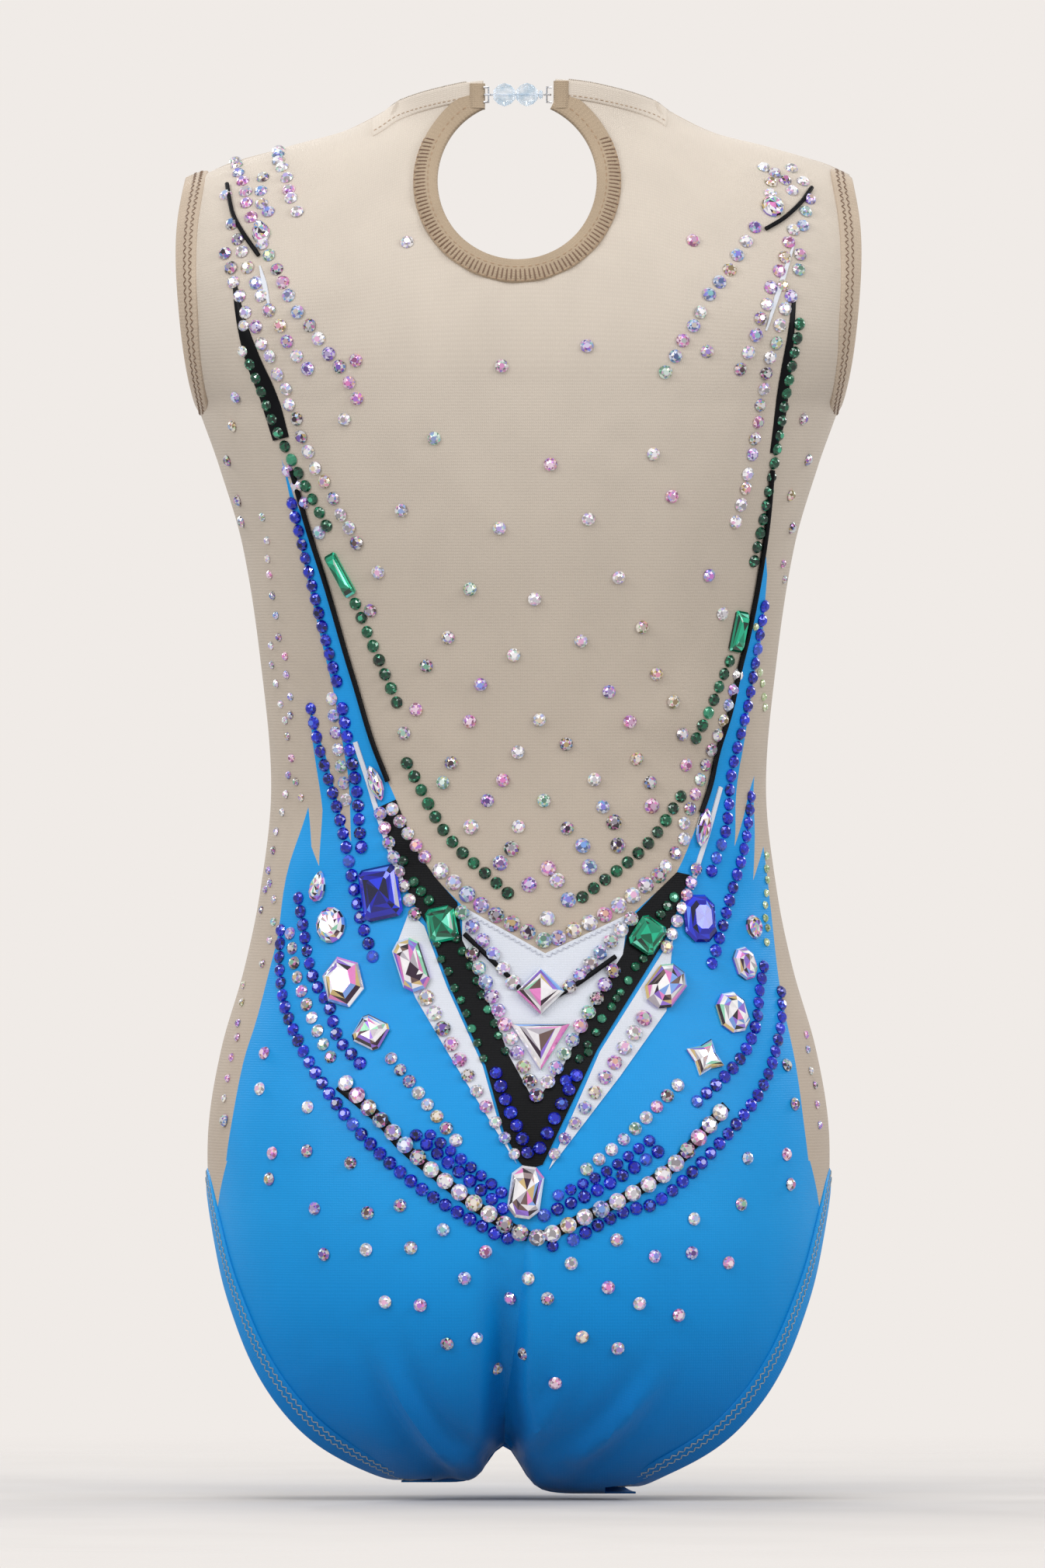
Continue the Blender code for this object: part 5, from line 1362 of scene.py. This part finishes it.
def row(group, kind, path, radius, gap=STONE_GAP, side=-1, lift=ON_CLOTH, jitter=0.0, taper=0.0, look=None):
    """Row of round stones along a path. Taper makes the last ones smaller by that share."""
    places = even_places(path, 2 * radius * gap, side)
    for i, (x, z) in enumerate(places):
        size = radius * (1 - taper * i / max(1, len(places) - 1)) * random.uniform(0.96, 1.03)
        x += random.uniform(-jitter, jitter)
        z += random.uniform(-jitter, jitter)
        place_stone(group, kind, x, z, size, side, lift, look)


def rows_of(group, kind, radius, paths, **options):
    for path in paths:
        row(group, kind, path, radius, **options)


def finish_stones():
    """One mesh for each group of stones."""
    for group, stones in GROUPS.items():
        kind = stones["kind"]
        points = np.concatenate(stones["points"])
        obj = make_mesh(group, points, stones["faces"], LOOKS[kind], smooth=False)
        set_facets(obj, stones["colors"])


def set_facets(obj, colors):
    attribute = obj.data.attributes.new("facet", "FLOAT_COLOR", "FACE")
    values = np.ones((len(obj.data.polygons), 4))
    values[:, :3] = np.array(colors)[:len(values)]
    attribute.data.foreach_set("color", values.ravel())


def around(count, start=0.0):
    """Angles at even steps round a stone."""
    return [2 * math.pi * (i + start) / count for i in range(count)]


def polygon(count, width, height):
    reach = math.cos(math.pi / count)
    return [(0.5 * width * math.cos(a) / reach, 0.5 * height * math.sin(a) / reach) for a in around(count,
                                                                                                    0.5)]


def cut_rectangle(width, height, corner=0.28):
    w, h, c = width / 2, height / 2, corner * min(width, height)
    return [(w, h - c), (w - c, h), (c - w, h), (-w, h - c), (-w, c - h), (c - w, -h), (w - c, -h),
            (w, c - h)]


def oval(width, height):
    shrink = math.cos(math.pi / 14)
    return polygon(14, width * shrink, height * shrink)


def pear(width, height):
    """Drop with its point up."""
    return [(0.5 * width * math.cos(a) * (1 - 0.32 * (1 + math.sin(a)) / 2 * 1.6), 0.5 * height * math.sin(a))
            for a in (b + math.pi / 2 for b in around(14))]


def navette(width, height):
    return [(0.5 * width * math.cos(a) * abs(math.cos(a)) ** 0.35, 0.5 * height * math.sin(a))
            for a in (b + math.pi / 2 for b in around(12))]


def star(size):
    reach = [0.5 * size if i % 2 else 0.3 * size for i in range(8)]
    return [(r * math.cos(i * math.pi / 4), r * math.sin(i * math.pi / 4)) for i, r in enumerate(reach)]


def fancy(name, outline, x, z, height, kind, degrees, lift=ON_CLOTH, node=None):
    """Large cut stone: bevelled girdle, steps of crown facets, and a table broken by facets beneath."""
    points, normals = on_cloth(x, z, -1, lift)
    base, normal = Vector(points[0]), Vector(normals[0])
    up = (Vector((0, 0, 1)) - normal * normal.z).normalized()
    right = up.cross(normal).normalized()
    angle = math.radians(degrees)
    axis_u = right * math.cos(angle) + up * math.sin(angle)
    axis_v = up * math.cos(angle) - right * math.sin(angle)
    rims = [base + axis_u * u + axis_v * v for u, v in outline]
    rim_points, _ = on_cloth([r.x for r in rims], [r.z for r in rims], -1, lift)
    bulge = max(0.0, max((Vector(p) - r).dot(normal) for p, r in zip(rim_points, rims)))
    floor = base + normal * (bulge * 0.8)
    levels = ((-0.12 - 0.5 * bulge / height, 0.95), (0.24, 1.0), (0.5, 0.9), (0.78, 0.72), (1.0, 0.5))
    rows, vertices = [], []
    for share, scale in levels:
        rows.append(len(vertices))
        vertices += [floor + normal * height * share + (axis_u * u + axis_v * v) * scale for u, v in outline]
    count = len(outline)
    faces = [tuple(range(count))[::-1]]
    for level, (low, high) in enumerate(zip(rows, rows[1:])):
        for i in range(count):
            j = (i + 1) % count
            if level < 2:
                faces.append((low + i, low + j, high + j, high + i))
            else:
                faces += [(low + i, low + j, high + i), (low + j, high + j, high + i)]
    centre = len(vertices)
    vertices.append(floor + normal * height + axis_u * 0.06 * outline[0][0] + axis_v * 0.05 * outline[1][1])
    faces += [(rows[-1] + i, rows[-1] + (i + 1) % count, centre) for i in range(count)]
    places = np.array([tuple(v) for v in vertices])
    faces = facing_out(places, faces, np.array(tuple(floor)), 1)
    obj = make_mesh(name, places, faces, LOOKS[kind], smooth=False)
    # facet colours with painted highlights and painted dark reflections
    set_facets(obj, [facet_color(LARGE_PALETTES.get(kind, kind)) for _ in faces])
    PLACED.extend((floor + (axis_u * u + axis_v * v) * 0.55, 0.22 * max(abs(outline[0][0]), 6)) for u,
                  v in outline)
    PLACED.append((floor, 0.42 * min(max(abs(u) for u, v in outline), max(abs(v) for u, v in outline)) * 2))
    if node:
        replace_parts(obj, node)


# Large stones: name, outline, x, z, height, kind and turn, then lift and node where they differ.
LARGE_STONES = (
    ("square_stone", polygon(4, 12, 12), 7.7, 177.5, 3.6, "crystal", 45, 1.4, "stone_square"),
    ("triangle_stone", [(-10.4, 5), (10.4, 5), (0, -12.2)], 7.7, 161.5, 3.4, "crystal", 0, ON_APPLIQUE,
     "stone_triangle"),
    ("tip_stone", cut_rectangle(11.5, 18.5), 2.5, 107.5, 4.0, "crystal", -8, ON_CLOTH, "stone_v_tip"),
    ("emerald_stone_left", cut_rectangle(10.5, 12.6, 0.15), -26.9, 201.4, 3.6, "emerald", 12, ON_APPLIQUE,
     "stone_emerald_left"),
    ("emerald_stone_right", cut_rectangle(10.5, 12.6, 0.15), 45.3, 197.5, 3.6, "emerald", -35, ON_APPLIQUE,
     "stone_emerald_right"),
    ("crystal_stone_left", cut_rectangle(10, 19.5), -37.6, 187, 3.8, "crystal", 20, ON_APPLIQUE,
     "stone_crystal_left"),
    ("crystal_stone_right", cut_rectangle(12, 17), 51.5, 179.5, 3.8, "crystal", -40, ON_APPLIQUE,
     "stone_crystal_right"),
    ("sapphire_stone_left", cut_rectangle(14.5, 19, 0.12), -48.5, 212.5, 4.0, "sapphire", 12, ON_CLOTH,
     "stone_sapphire_left"),
    ("sapphire_stone_right", cut_rectangle(12.5, 17), 63.7, 203.5, 4.0, "sapphire", 0, ON_CLOTH,
     "stone_sapphire_right"),
    ("hexagon_stone", polygon(6, 14, 17), -61.5, 181, 3.8, "crystal", 20, ON_CLOTH, "stone_hex_left"),
    ("lilac_stone", cut_rectangle(12, 14.5), 75.3, 170.3, 3.8, "crystal", 8, ON_CLOTH, "stone_lilac_right"),
    ("star_stone", star(15), 65.6, 154.6, 3.4, "crystal", 20, ON_CLOTH, "stone_star_right"),
    ("baguette_left", cut_rectangle(4.6, 16.5, 0.1), -62.6, 325, 3.0, "emerald", 27, ON_CLOTH,
     "stone_baguette_left"),
    ("baguette_right", cut_rectangle(6, 14.5, 0.1), 77.7, 305, 3.0, "emerald", -8, ON_CLOTH,
     "stone_baguette_right"),
    ("hip_pear_left", pear(7.7, 11.2), -70.3, 214.8, 3.0, "crystal", -10),
    ("hip_oval_left", oval(11.5, 13.2), -66.2, 201.2, 3.4, "crystal", 15),
    ("hip_square_left", cut_rectangle(11.5, 11.0, 0.15), -51.9, 163.4, 3.2, "crystal", -25),
    ("hip_oval_right", oval(7.6, 8.6), 83.0, 200.5, 2.6, "crystal", 0),
    ("hip_pear_right", cut_rectangle(9.4, 11.4), 79.7, 187.6, 3.0, "crystal", 12),
    ("navette_left", navette(5.2, 13.0), -50.3, 251.4, 2.4, "crystal", 20, ON_APPLIQUE),
    ("navette_right", navette(5.6, 14.0), 64.6, 235.7, 2.4, "crystal", -15, ON_APPLIQUE),
    ("shoulder_pear_left", pear(8.4, 9.6), -91.2, 446.4, 2.6, "crystal", 25),
    ("shoulder_oval_right", oval(8.4, 9.2), 89.8, 454.9, 2.6, "crystal", -20),
)


def build_large_stones():
    for stone in LARGE_STONES:
        fancy(*stone)


# Edge rows, as (x, z) paths on the back.
LOWER_ARC_LEFT = ((-60.5, 145.5), (-48.9, 133.2), (-28, 113.2), (-4.1, 95.9), (6.6, 91.7))
LOWER_ARC_RIGHT = ((70.6, 135.2), (53, 115.6), (37.9, 106), (23.9, 99.2), (11.8, 93.1))
OUTER_LEFT = ((-84.1, 199.4), (-84.3, 186.5), (-81.6, 169.8), (-71.4, 149.2), (-55.2, 127.7), (-34.3, 108.8),
              (-10.2, 94.2), (-3.8, 91.5))
OUTER_RIGHT = ((92.6, 177.5), (92.3, 164.8), (85.7, 143.7), (69.2, 122.8), (49.7, 104.7), (36.5, 100.5),
               (19.2, 90.9))
INNER_LEFT = ((-77.5, 210.7), (-76.1, 200.3), (-72.5, 183), (-66.8, 172.8), (-63.5, 161.5), (-55.8, 152.7))
INNER_RIGHT = ((86.5, 186.5), (84.9, 177.5), (83.8, 166.5), (79.7, 156.6), (72.8, 148.1), (62.9, 139.3))
OUTER_FLAME_LEFT = ((-73.4, 277.7), (-67.4, 253.4), (-60.8, 230.3), (-56.6, 207), (-51.4, 190.2))
INNER_FLAME_LEFT = ((-79.7, 350.2), (-70.5, 312), (-62.6, 280.2), (-57.9, 253.4), (-55.1, 228.7))
FLAME_RIGHT = ((82.4, 246.6), (78.5, 225.2), (72.5, 202.4), (68.2, 187.8))
COLUMN_RIGHT = ((86.7, 314), (82.4, 285.7), (76.3, 260.4), (73.3, 237.8), (68.2, 220.4))


def build_blue_rows():
    group, kind = "sapphire_rows", "sapphire"
    rows_of(group, kind, SMALL, (OUTER_LEFT, OUTER_RIGHT, INNER_LEFT, INNER_RIGHT, OUTER_FLAME_LEFT,
                                 INNER_FLAME_LEFT, FLAME_RIGHT, COLUMN_RIGHT,
                                 ((-36, 127.5), (-26, 119), (-5.5, 101.9))))
    rows_of(group, kind, FINE, (((-31, 127.6), (-20, 119), (-6, 107.5)),))
    rows_of(group, kind, SMALL, (((49, 121.7), (30, 109.5), (9, 99.5)),))
    rows_of(group, kind, FINE, (((46, 125.5), (30, 114.2), (14, 106.5)), ((47, 111), (30, 99.5), (12, 88.8))))
    rows_of("v_sapphires", kind, SMALL, (((-7.9, 149.2), (-3.8, 137.8), (1, 127), (3.2, 121.5)),
                                         ((20.3, 148.3), (14.4, 136.9), (7.5, 123))), lift=ON_APPLIQUE)
    rows_of("v_sapphires", kind, FINE, (((-4.2, 141), (1.8, 130)), ((16.6, 146.5), (10.8, 133))),
            lift=ON_APPLIQUE)


def build_green_rows():
    rows_of("emerald_rows", "emerald", SMALL * 0.95, (
        ((-94.5, 399.4), (-84, 374), (-67.6, 342.3)), ((-57.4, 314.8), (-42.9, 279.9)),
        ((-39.3, 258.5), (-24.7, 232.4), (-3.8, 212.6)), ((98.9, 413.4), (91.5, 371.7), (83, 329.9)),
        ((74.7, 294.5), (62.6, 267.3)), ((57.1, 246.7), (44.8, 229.1), (22.5, 211.2))), gap=1.12)
    for path in (((-28.5, 203), (-18, 179), (-7.2, 153.5)), ((44, 190), (31, 170), (21.5, 153))):
        moved = [[(x + shift, z + 1.4 * shift) for x, z in path] for shift in (-2.6, 2.6)]
        rows_of("v_emeralds", "emerald", TINY * 1.05, moved, gap=1.7, lift=ON_APPLIQUE, jitter=0.5)
    rows_of("emerald_tops", "emerald", SMALL * 0.8, (((-45, 236), (-38.5, 219), (-31.5, 210)),
                                                     ((57, 214), (50, 205))), gap=1.05, lift=ON_APPLIQUE)


def build_crystal_rows():
    kind = "crystal"
    rows_of("arc_crystals", kind, MEDIUM * 0.94, (LOWER_ARC_LEFT, LOWER_ARC_RIGHT), lift=ON_BAND)
    rows_of("seat_crystals", kind, SMALL, (
        ((-80.8, 198.3), (-77.5, 181), (-69.2, 160.2), (-66.2, 154.9)),
        ((-44.8, 154.4), (-29.1, 134.6), (-22, 125.8)), ((56, 145), (38.5, 127.5), (23.9, 115.6)),
        ((-66, 281.2), (-61.1, 245.6)), ((77.6, 289.6), (67.2, 260.4), (58.1, 237.2))), gap=1.16)
    rows_of("stripe_crystals", kind, MEDIUM * 0.92, (
        ((-32.5, 175.6), (-17.5, 148), (-1.5, 120.9)), ((44, 168.3), (12.6, 120.9))),
        gap=1.08, lift=ON_APPLIQUE, taper=0.3)
    rows_of("insert_crystals", kind, MEDIUM * 0.82, (
        ((-16.1, 191.1), (6.2, 141.4)), ((33.1, 185.1), (10.3, 146)), ((-19.8, 205.6), (-2, 181)),
        ((39.5, 203.4), (14.4, 175.6))), gap=1.05, lift=ON_INSERT)
    rows_of("neckline_crystals", kind, MEDIUM * 0.9, (
        ((-27.5, 220.5), (-12, 207.5), (8.9, 196)), ((14, 196.8), (32, 206), (49.5, 218.9))), gap=1.03)
    rows_of("neckline_crystals", kind, SMALL, (
        ((-49.5, 251), (-45, 243), (-34, 226.5), (-29, 222.5)), ((52, 222), (58, 231), (62, 243))), gap=1.05)
    rows_of("band_crystals", kind, SMALL, (
        ((-48.5, 240.7), (-43.5, 224), (-36.5, 205.1)), ((62.5, 221), (57, 206), (52, 193.5))),
        gap=1.1, lift=ON_APPLIQUE)


SHOULDER_ROWS = (
    ((-85.4, 475.5), (-82, 464), (-78.8, 453)),
    ((-100, 471.4), (-95.3, 454.4), (-80.8, 423), (-56.9, 387.6)),
    ((-100.8, 448.6), (-94.8, 432.9), (-79.1, 402.4), (-73.9, 397.8)),
    ((-103.6, 438.1), (-97.5, 421.9), (-84.1, 393.9), (-71.7, 364), (-57.4, 336)),
    ((-88, 379), (-79, 357), (-70, 340)),
    ((83.5, 446.9), (68.4, 423.9), (51.6, 396.1)),
    ((97.5, 447.2), (88.5, 423.6), (78.3, 397.5)),
    ((96.1, 423.6), (90.4, 405.2), (84.1, 377.4), (76.9, 343.9)),
    ((103, 458), (99.5, 441), (97.5, 426)),
)


def build_shoulder_rows():
    rows_of("shoulder_crystals", "crystal", SMALL * 1.03, SHOULDER_ROWS, gap=1.22, jitter=0.7)
    for x, z in ((-96, 462), (94, 462)):
        for _ in range(14):
            place_stone("shoulder_crystals", "crystal", x + random.uniform(-8, 8), z + random.uniform(-9, 7),
                        SMALL)
    row("side_tiny_stones", "pale_green", ((84.1, 307.1), (88, 270), (87.5, 232), (87.9, 195.6)), TINY,
        gap=1.5,
        jitter=0.5, look="crystal")
    rows_of("side_tiny_stones", "crystal", TINY, (
        ((-91, 345), (-84, 300), (-80.5, 262), (-86, 232), (-95, 190), (-103, 140)),
        ((-88, 300), (-79, 258), (-78, 246)), ((94, 330), (91.5, 262), (94, 215), (102, 165), (106, 130)),
        ((-90, 225), (-86, 207), (-90, 188)), ((92, 245), (90, 224), (93, 200))), gap=2.3, jitter=1.0)


def neckline_reach(z):
    """Left and right limits of the open mesh between the necklines at a height."""
    left = [(p[1], p[0]) for p in reversed(LEFT_NECKLINE + (NECKLINE_POINT,))]
    right = [(p[1], p[0]) for p in (NECKLINE_POINT,) + RIGHT_NECKLINE]
    return (np.interp(z, [p[0] for p in left], [p[1] for p in left]) + 8,
            np.interp(z, [p[0] for p in right], [p[1] for p in right]) - 8)


# Loose stones. V rows of the back: middle, first and last height, first gap and its growth, and the opening.
SCATTER_X, SCATTER_LOW, SCATTER_HIGH = 9.0, 205.0, 445
FIRST_GAP, GAP_GROWTH = 8.4, 1.14
FIRST_OPENING, OPENING_STEP, LEAST_OPENING = 0.62, 0.05, 0.12
KEYHOLE_CLEAR = 41
# Rows of the seat: the drop of each, the arc that they hang from, and the lowest place for a stone.
SEAT_DROPS = (13, 26, 39, 51)
SEAT_X, SEAT_ARC_Z, SEAT_CURVE, SEAT_SLOPE, SEAT_LOWEST = 4, 92, 0.0062, 0.26, 38


def shaken(value, reach):
    return value + random.uniform(-reach, reach)


def build_scatter():
    """Loose stones: nested V rows that open up the back, then rows that fall away below the seat's arc."""
    group, kind = "loose_crystals", "crystal"
    gap, bottom, level = FIRST_GAP, SCATTER_LOW, 0
    while bottom < SCATTER_HIGH:
        opening = max(LEAST_OPENING, FIRST_OPENING - OPENING_STEP * level)
        spacing = gap * 1.15
        start = SCATTER_X + (spacing / 2 if level % 2 else 0.0)
        for side in (-1, 1):
            for i in range(0 if side > 0 or level % 2 else 1, 12):
                x = SCATTER_X + side * (i * spacing + start - SCATTER_X)
                z = bottom + opening * abs(x - SCATTER_X)
                low, high = neckline_reach(z)
                if low < x < high and math.hypot(x - KEYHOLE_X, z - KEYHOLE_Z) > KEYHOLE_CLEAR:
                    shake = gap * 0.16
                    place_stone(group, kind, shaken(x, shake), shaken(z, shake),
                                SMALL if level > 2 else MEDIUM * 0.85)
        bottom += gap
        gap *= GAP_GROWTH
        level += 1
    for step, drop in enumerate(SEAT_DROPS):
        spacing = 15.5 + 1.5 * step
        for i in range(-8, 9):
            x = shaken(SEAT_X + (i + 0.5 * (step % 2)) * spacing, 2.5)
            arc = SEAT_ARC_Z + SEAT_CURVE * (x - SEAT_X) ** 2 + SEAT_SLOPE * abs(x - SEAT_X)
            z = shaken(arc - drop * (1.0 + 0.15 * abs(x) / 90), 3)
            if abs(x) < half_width(z) - 6 and z > SEAT_LOWEST:
                place_stone(group, kind, x, z, SMALL)
    for sign in (-1, 1):
        for i in range(9):
            place_stone(group, kind, shaken(sign * (100 - 0.1 * i * i), 4), shaken(330 + i * 12, 3), FINE)


def build_front_stones():
    """Rows that repeat the back's theme along the front neckline and at the hips."""
    whole = front_neckline(5)
    row("front_crystals", "crystal", whole, MEDIUM * 0.9, side=1, lift=ON_APPLIQUE)
    row("front_sapphires", "sapphire", [(x, z - 7) for x, z in whole], SMALL, side=1)
    row("front_emeralds", "emerald", [(x * 0.93, z + 9) for x, z in whole], SMALL, gap=1.15, side=1)
    for sign in (-1, 1):
        strap = [(sign * x, z) for x, z in FRONT_STRAP]
        row("front_crystals", "crystal", strap, SMALL, gap=1.1, side=1, lift=ON_APPLIQUE)
        row("front_crystals", "crystal", [(sign * (x - 9), z) for x, z in FRONT_STRAP], SMALL, gap=1.2,
            side=1)
        edge = [(sign * (x - 5), z) for x, z in FRONT_BLUE_SIDE]
        row("front_sapphires", "sapphire", edge, SMALL, gap=1.1, side=1)
        row("front_crystals", "crystal", [(x - sign * 7, z) for x, z in edge[1:5]], SMALL, gap=1.3, side=1)
    for level in range(1, 9):
        for i in range(-6, 7):
            x = (i + 0.5 * (level % 2)) * (11 + 2.2 * level)
            z = 282 + 0.5 * abs(x) + 12 + 9 * level + 0.7 * level * level
            if abs(x) < 92 and z < 405:
                place_stone("front_crystals", "crystal", shaken(x, 1.5), shaken(z, 1.5), SMALL, 1)


# ---------------------------------------------------------------- kept pieces, stage and camera


# Looks of the frame's own pieces that stay in view, or inside.
KEPT_LOOKS = {"anchor_bar": "steel", "eye_bar": "steel", "closure_hook": "steel", "closure_core": "elastic",
              "gusset_lining": "lining", "shoulder_tape_left": "elastic", "shoulder_tape_right": "elastic",
              "care_label": "elastic", "bead_large_left": "bead", "bead_large_right": "bead",
              "bead_small": "bead"}


def dress_kept_nodes():
    for name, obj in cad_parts.items():
        look = KEPT_LOOKS.get(name, "elastic" if "elastic" in name else None)
        if look:
            for slot in obj.material_slots:
                slot.material = LOOKS[look]


def replace_panels():
    for piece, node in (("back_mesh", "back_mesh_panel"), ("seat_left", "seat_panel_left"),
                        ("seat_right", "seat_panel_right"), ("front_mesh", "front_mesh_panel"),
                        ("front_body", "front_panel"), ("gusset", "crotch_gusset")):
        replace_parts(bpy.data.objects[piece], node)


# Stage, in metres except the floor's drop.
BACKDROP = srgb(240, 235, 231)
FLOOR_DROP, FLOOR_REACH = 1.5, 2.4
CAMERA_DISTANCE, CAMERA_X, CAMERA_Z = 9.0, 0.0014, 0.2515
FRAME_HEIGHT, MEASURED_DEPTH = 0.5546, 0.02
SENSOR = 36.0
AIM = (0.0, 0.0, 0.26)
WORLD_LIGHT = 0.5


def build_stage():
    """Pale floor that fades into the surroundings."""
    size, low = FLOOR_REACH, -FLOOR_DROP * MM
    mesh = bpy.data.meshes.new("floor")
    mesh.from_pydata([(-size, -size, low), (size, -size, low), (size, size, low), (-size, size, low)], [],
                     [(0, 1, 2, 3)])
    floor = bpy.data.objects.new("floor", mesh)
    bpy.context.scene.collection.objects.link(floor)
    look = Look("pale_floor", 0.9)
    tone = look.noise(look.millimetres(False), 0.01)
    look.to(look.ramp(tone, (0.4, srgb(197, 193, 190)), (0.6, srgb(201, 197, 194))), "Base Color")
    place = look.node("ShaderNodeTexCoord").outputs["Object"]
    length = look.node("ShaderNodeVectorMath", operation="LENGTH")
    look.link(place, length.inputs[0])
    fade = look.ramp(length.outputs["Value"], (0.15, (0, 0, 0)), (0.9, (1, 1, 1)))
    clear = look.node("ShaderNodeBsdfTransparent")
    mixed = look.node("ShaderNodeMixShader")
    look.link(fade, mixed.inputs[0])
    look.link(look.shader.outputs[0], mixed.inputs[1])
    look.link(clear.outputs[0], mixed.inputs[2])
    look.link(mixed.outputs[0], look.tree.nodes["Material Output"].inputs["Surface"])
    mesh.materials.append(look.material)


def area_light(name, place, size, power):
    light = bpy.data.lights.new(name, "AREA")
    light.energy = power
    light.size = size
    obj = bpy.data.objects.new(name, light)
    obj.location = place
    obj.rotation_euler = (Vector(AIM) - Vector(place)).to_track_quat("-Z", "Y").to_euler()
    bpy.context.scene.collection.objects.link(obj)


def build_light():
    scene = bpy.context.scene
    world = bpy.data.worlds.new("studio")
    scene.world = world
    world.use_nodes = True
    nodes, links = world.node_tree.nodes, world.node_tree.links
    nodes.clear()
    seen, lighting = nodes.new("ShaderNodeBackground"), nodes.new("ShaderNodeBackground")
    seen.inputs["Color"].default_value = (*BACKDROP, 1.0)
    lighting.inputs["Color"].default_value = (1.0, 0.985, 0.97, 1.0)
    lighting.inputs["Strength"].default_value = WORLD_LIGHT
    path, mixed = nodes.new("ShaderNodeLightPath"), nodes.new("ShaderNodeMixShader")
    output = nodes.new("ShaderNodeOutputWorld")
    links.new(path.outputs["Is Camera Ray"], mixed.inputs[0])
    links.new(lighting.outputs[0], mixed.inputs[1])
    links.new(seen.outputs[0], mixed.inputs[2])
    links.new(mixed.outputs[0], output.inputs[0])
    for name, side in (("back", -1), ("front", 1)):
        area_light(name + "_left", (-2.1, side * 1.7, 1.7), 1.1, 27)
        area_light(name + "_right", (2.1, side * 1.6, 1.5), 1.1, 25)
        area_light(name + "_top", (-0.2, side * 1.5, 2.4), 1.0, 14)
    area_light("sparkle_left", (-1.3, -2.4, 1.0), 0.12, 5)
    area_light("sparkle_right", (0.8, -2.6, 1.9), 0.1, 5)
    area_light("sparkle_front", (-0.7, 2.5, 1.4), 0.1, 5)
    scene.view_settings.view_transform = "Standard"


def build_camera():
    data = bpy.data.cameras.new("camera")
    data.sensor_fit = "VERTICAL"
    data.sensor_height = SENSOR
    data.lens = SENSOR * (CAMERA_DISTANCE - MEASURED_DEPTH) / FRAME_HEIGHT
    camera = bpy.data.objects.new("camera", data)
    camera.location = (CAMERA_X, -CAMERA_DISTANCE, CAMERA_Z)
    camera.rotation_euler = (math.pi / 2, 0.0, 0.0)
    bpy.context.scene.collection.objects.link(camera)
    bpy.context.scene.camera = camera


build_back()
build_front()
build_gusset()
replace_panels()
build_bindings()
build_neck()
build_appliques()
build_large_stones()
build_crystal_rows()
build_blue_rows()
build_green_rows()
build_shoulder_rows()
build_scatter()
build_front_stones()
finish_stones()
dress_kept_nodes()
build_stage()
build_light()
build_camera()
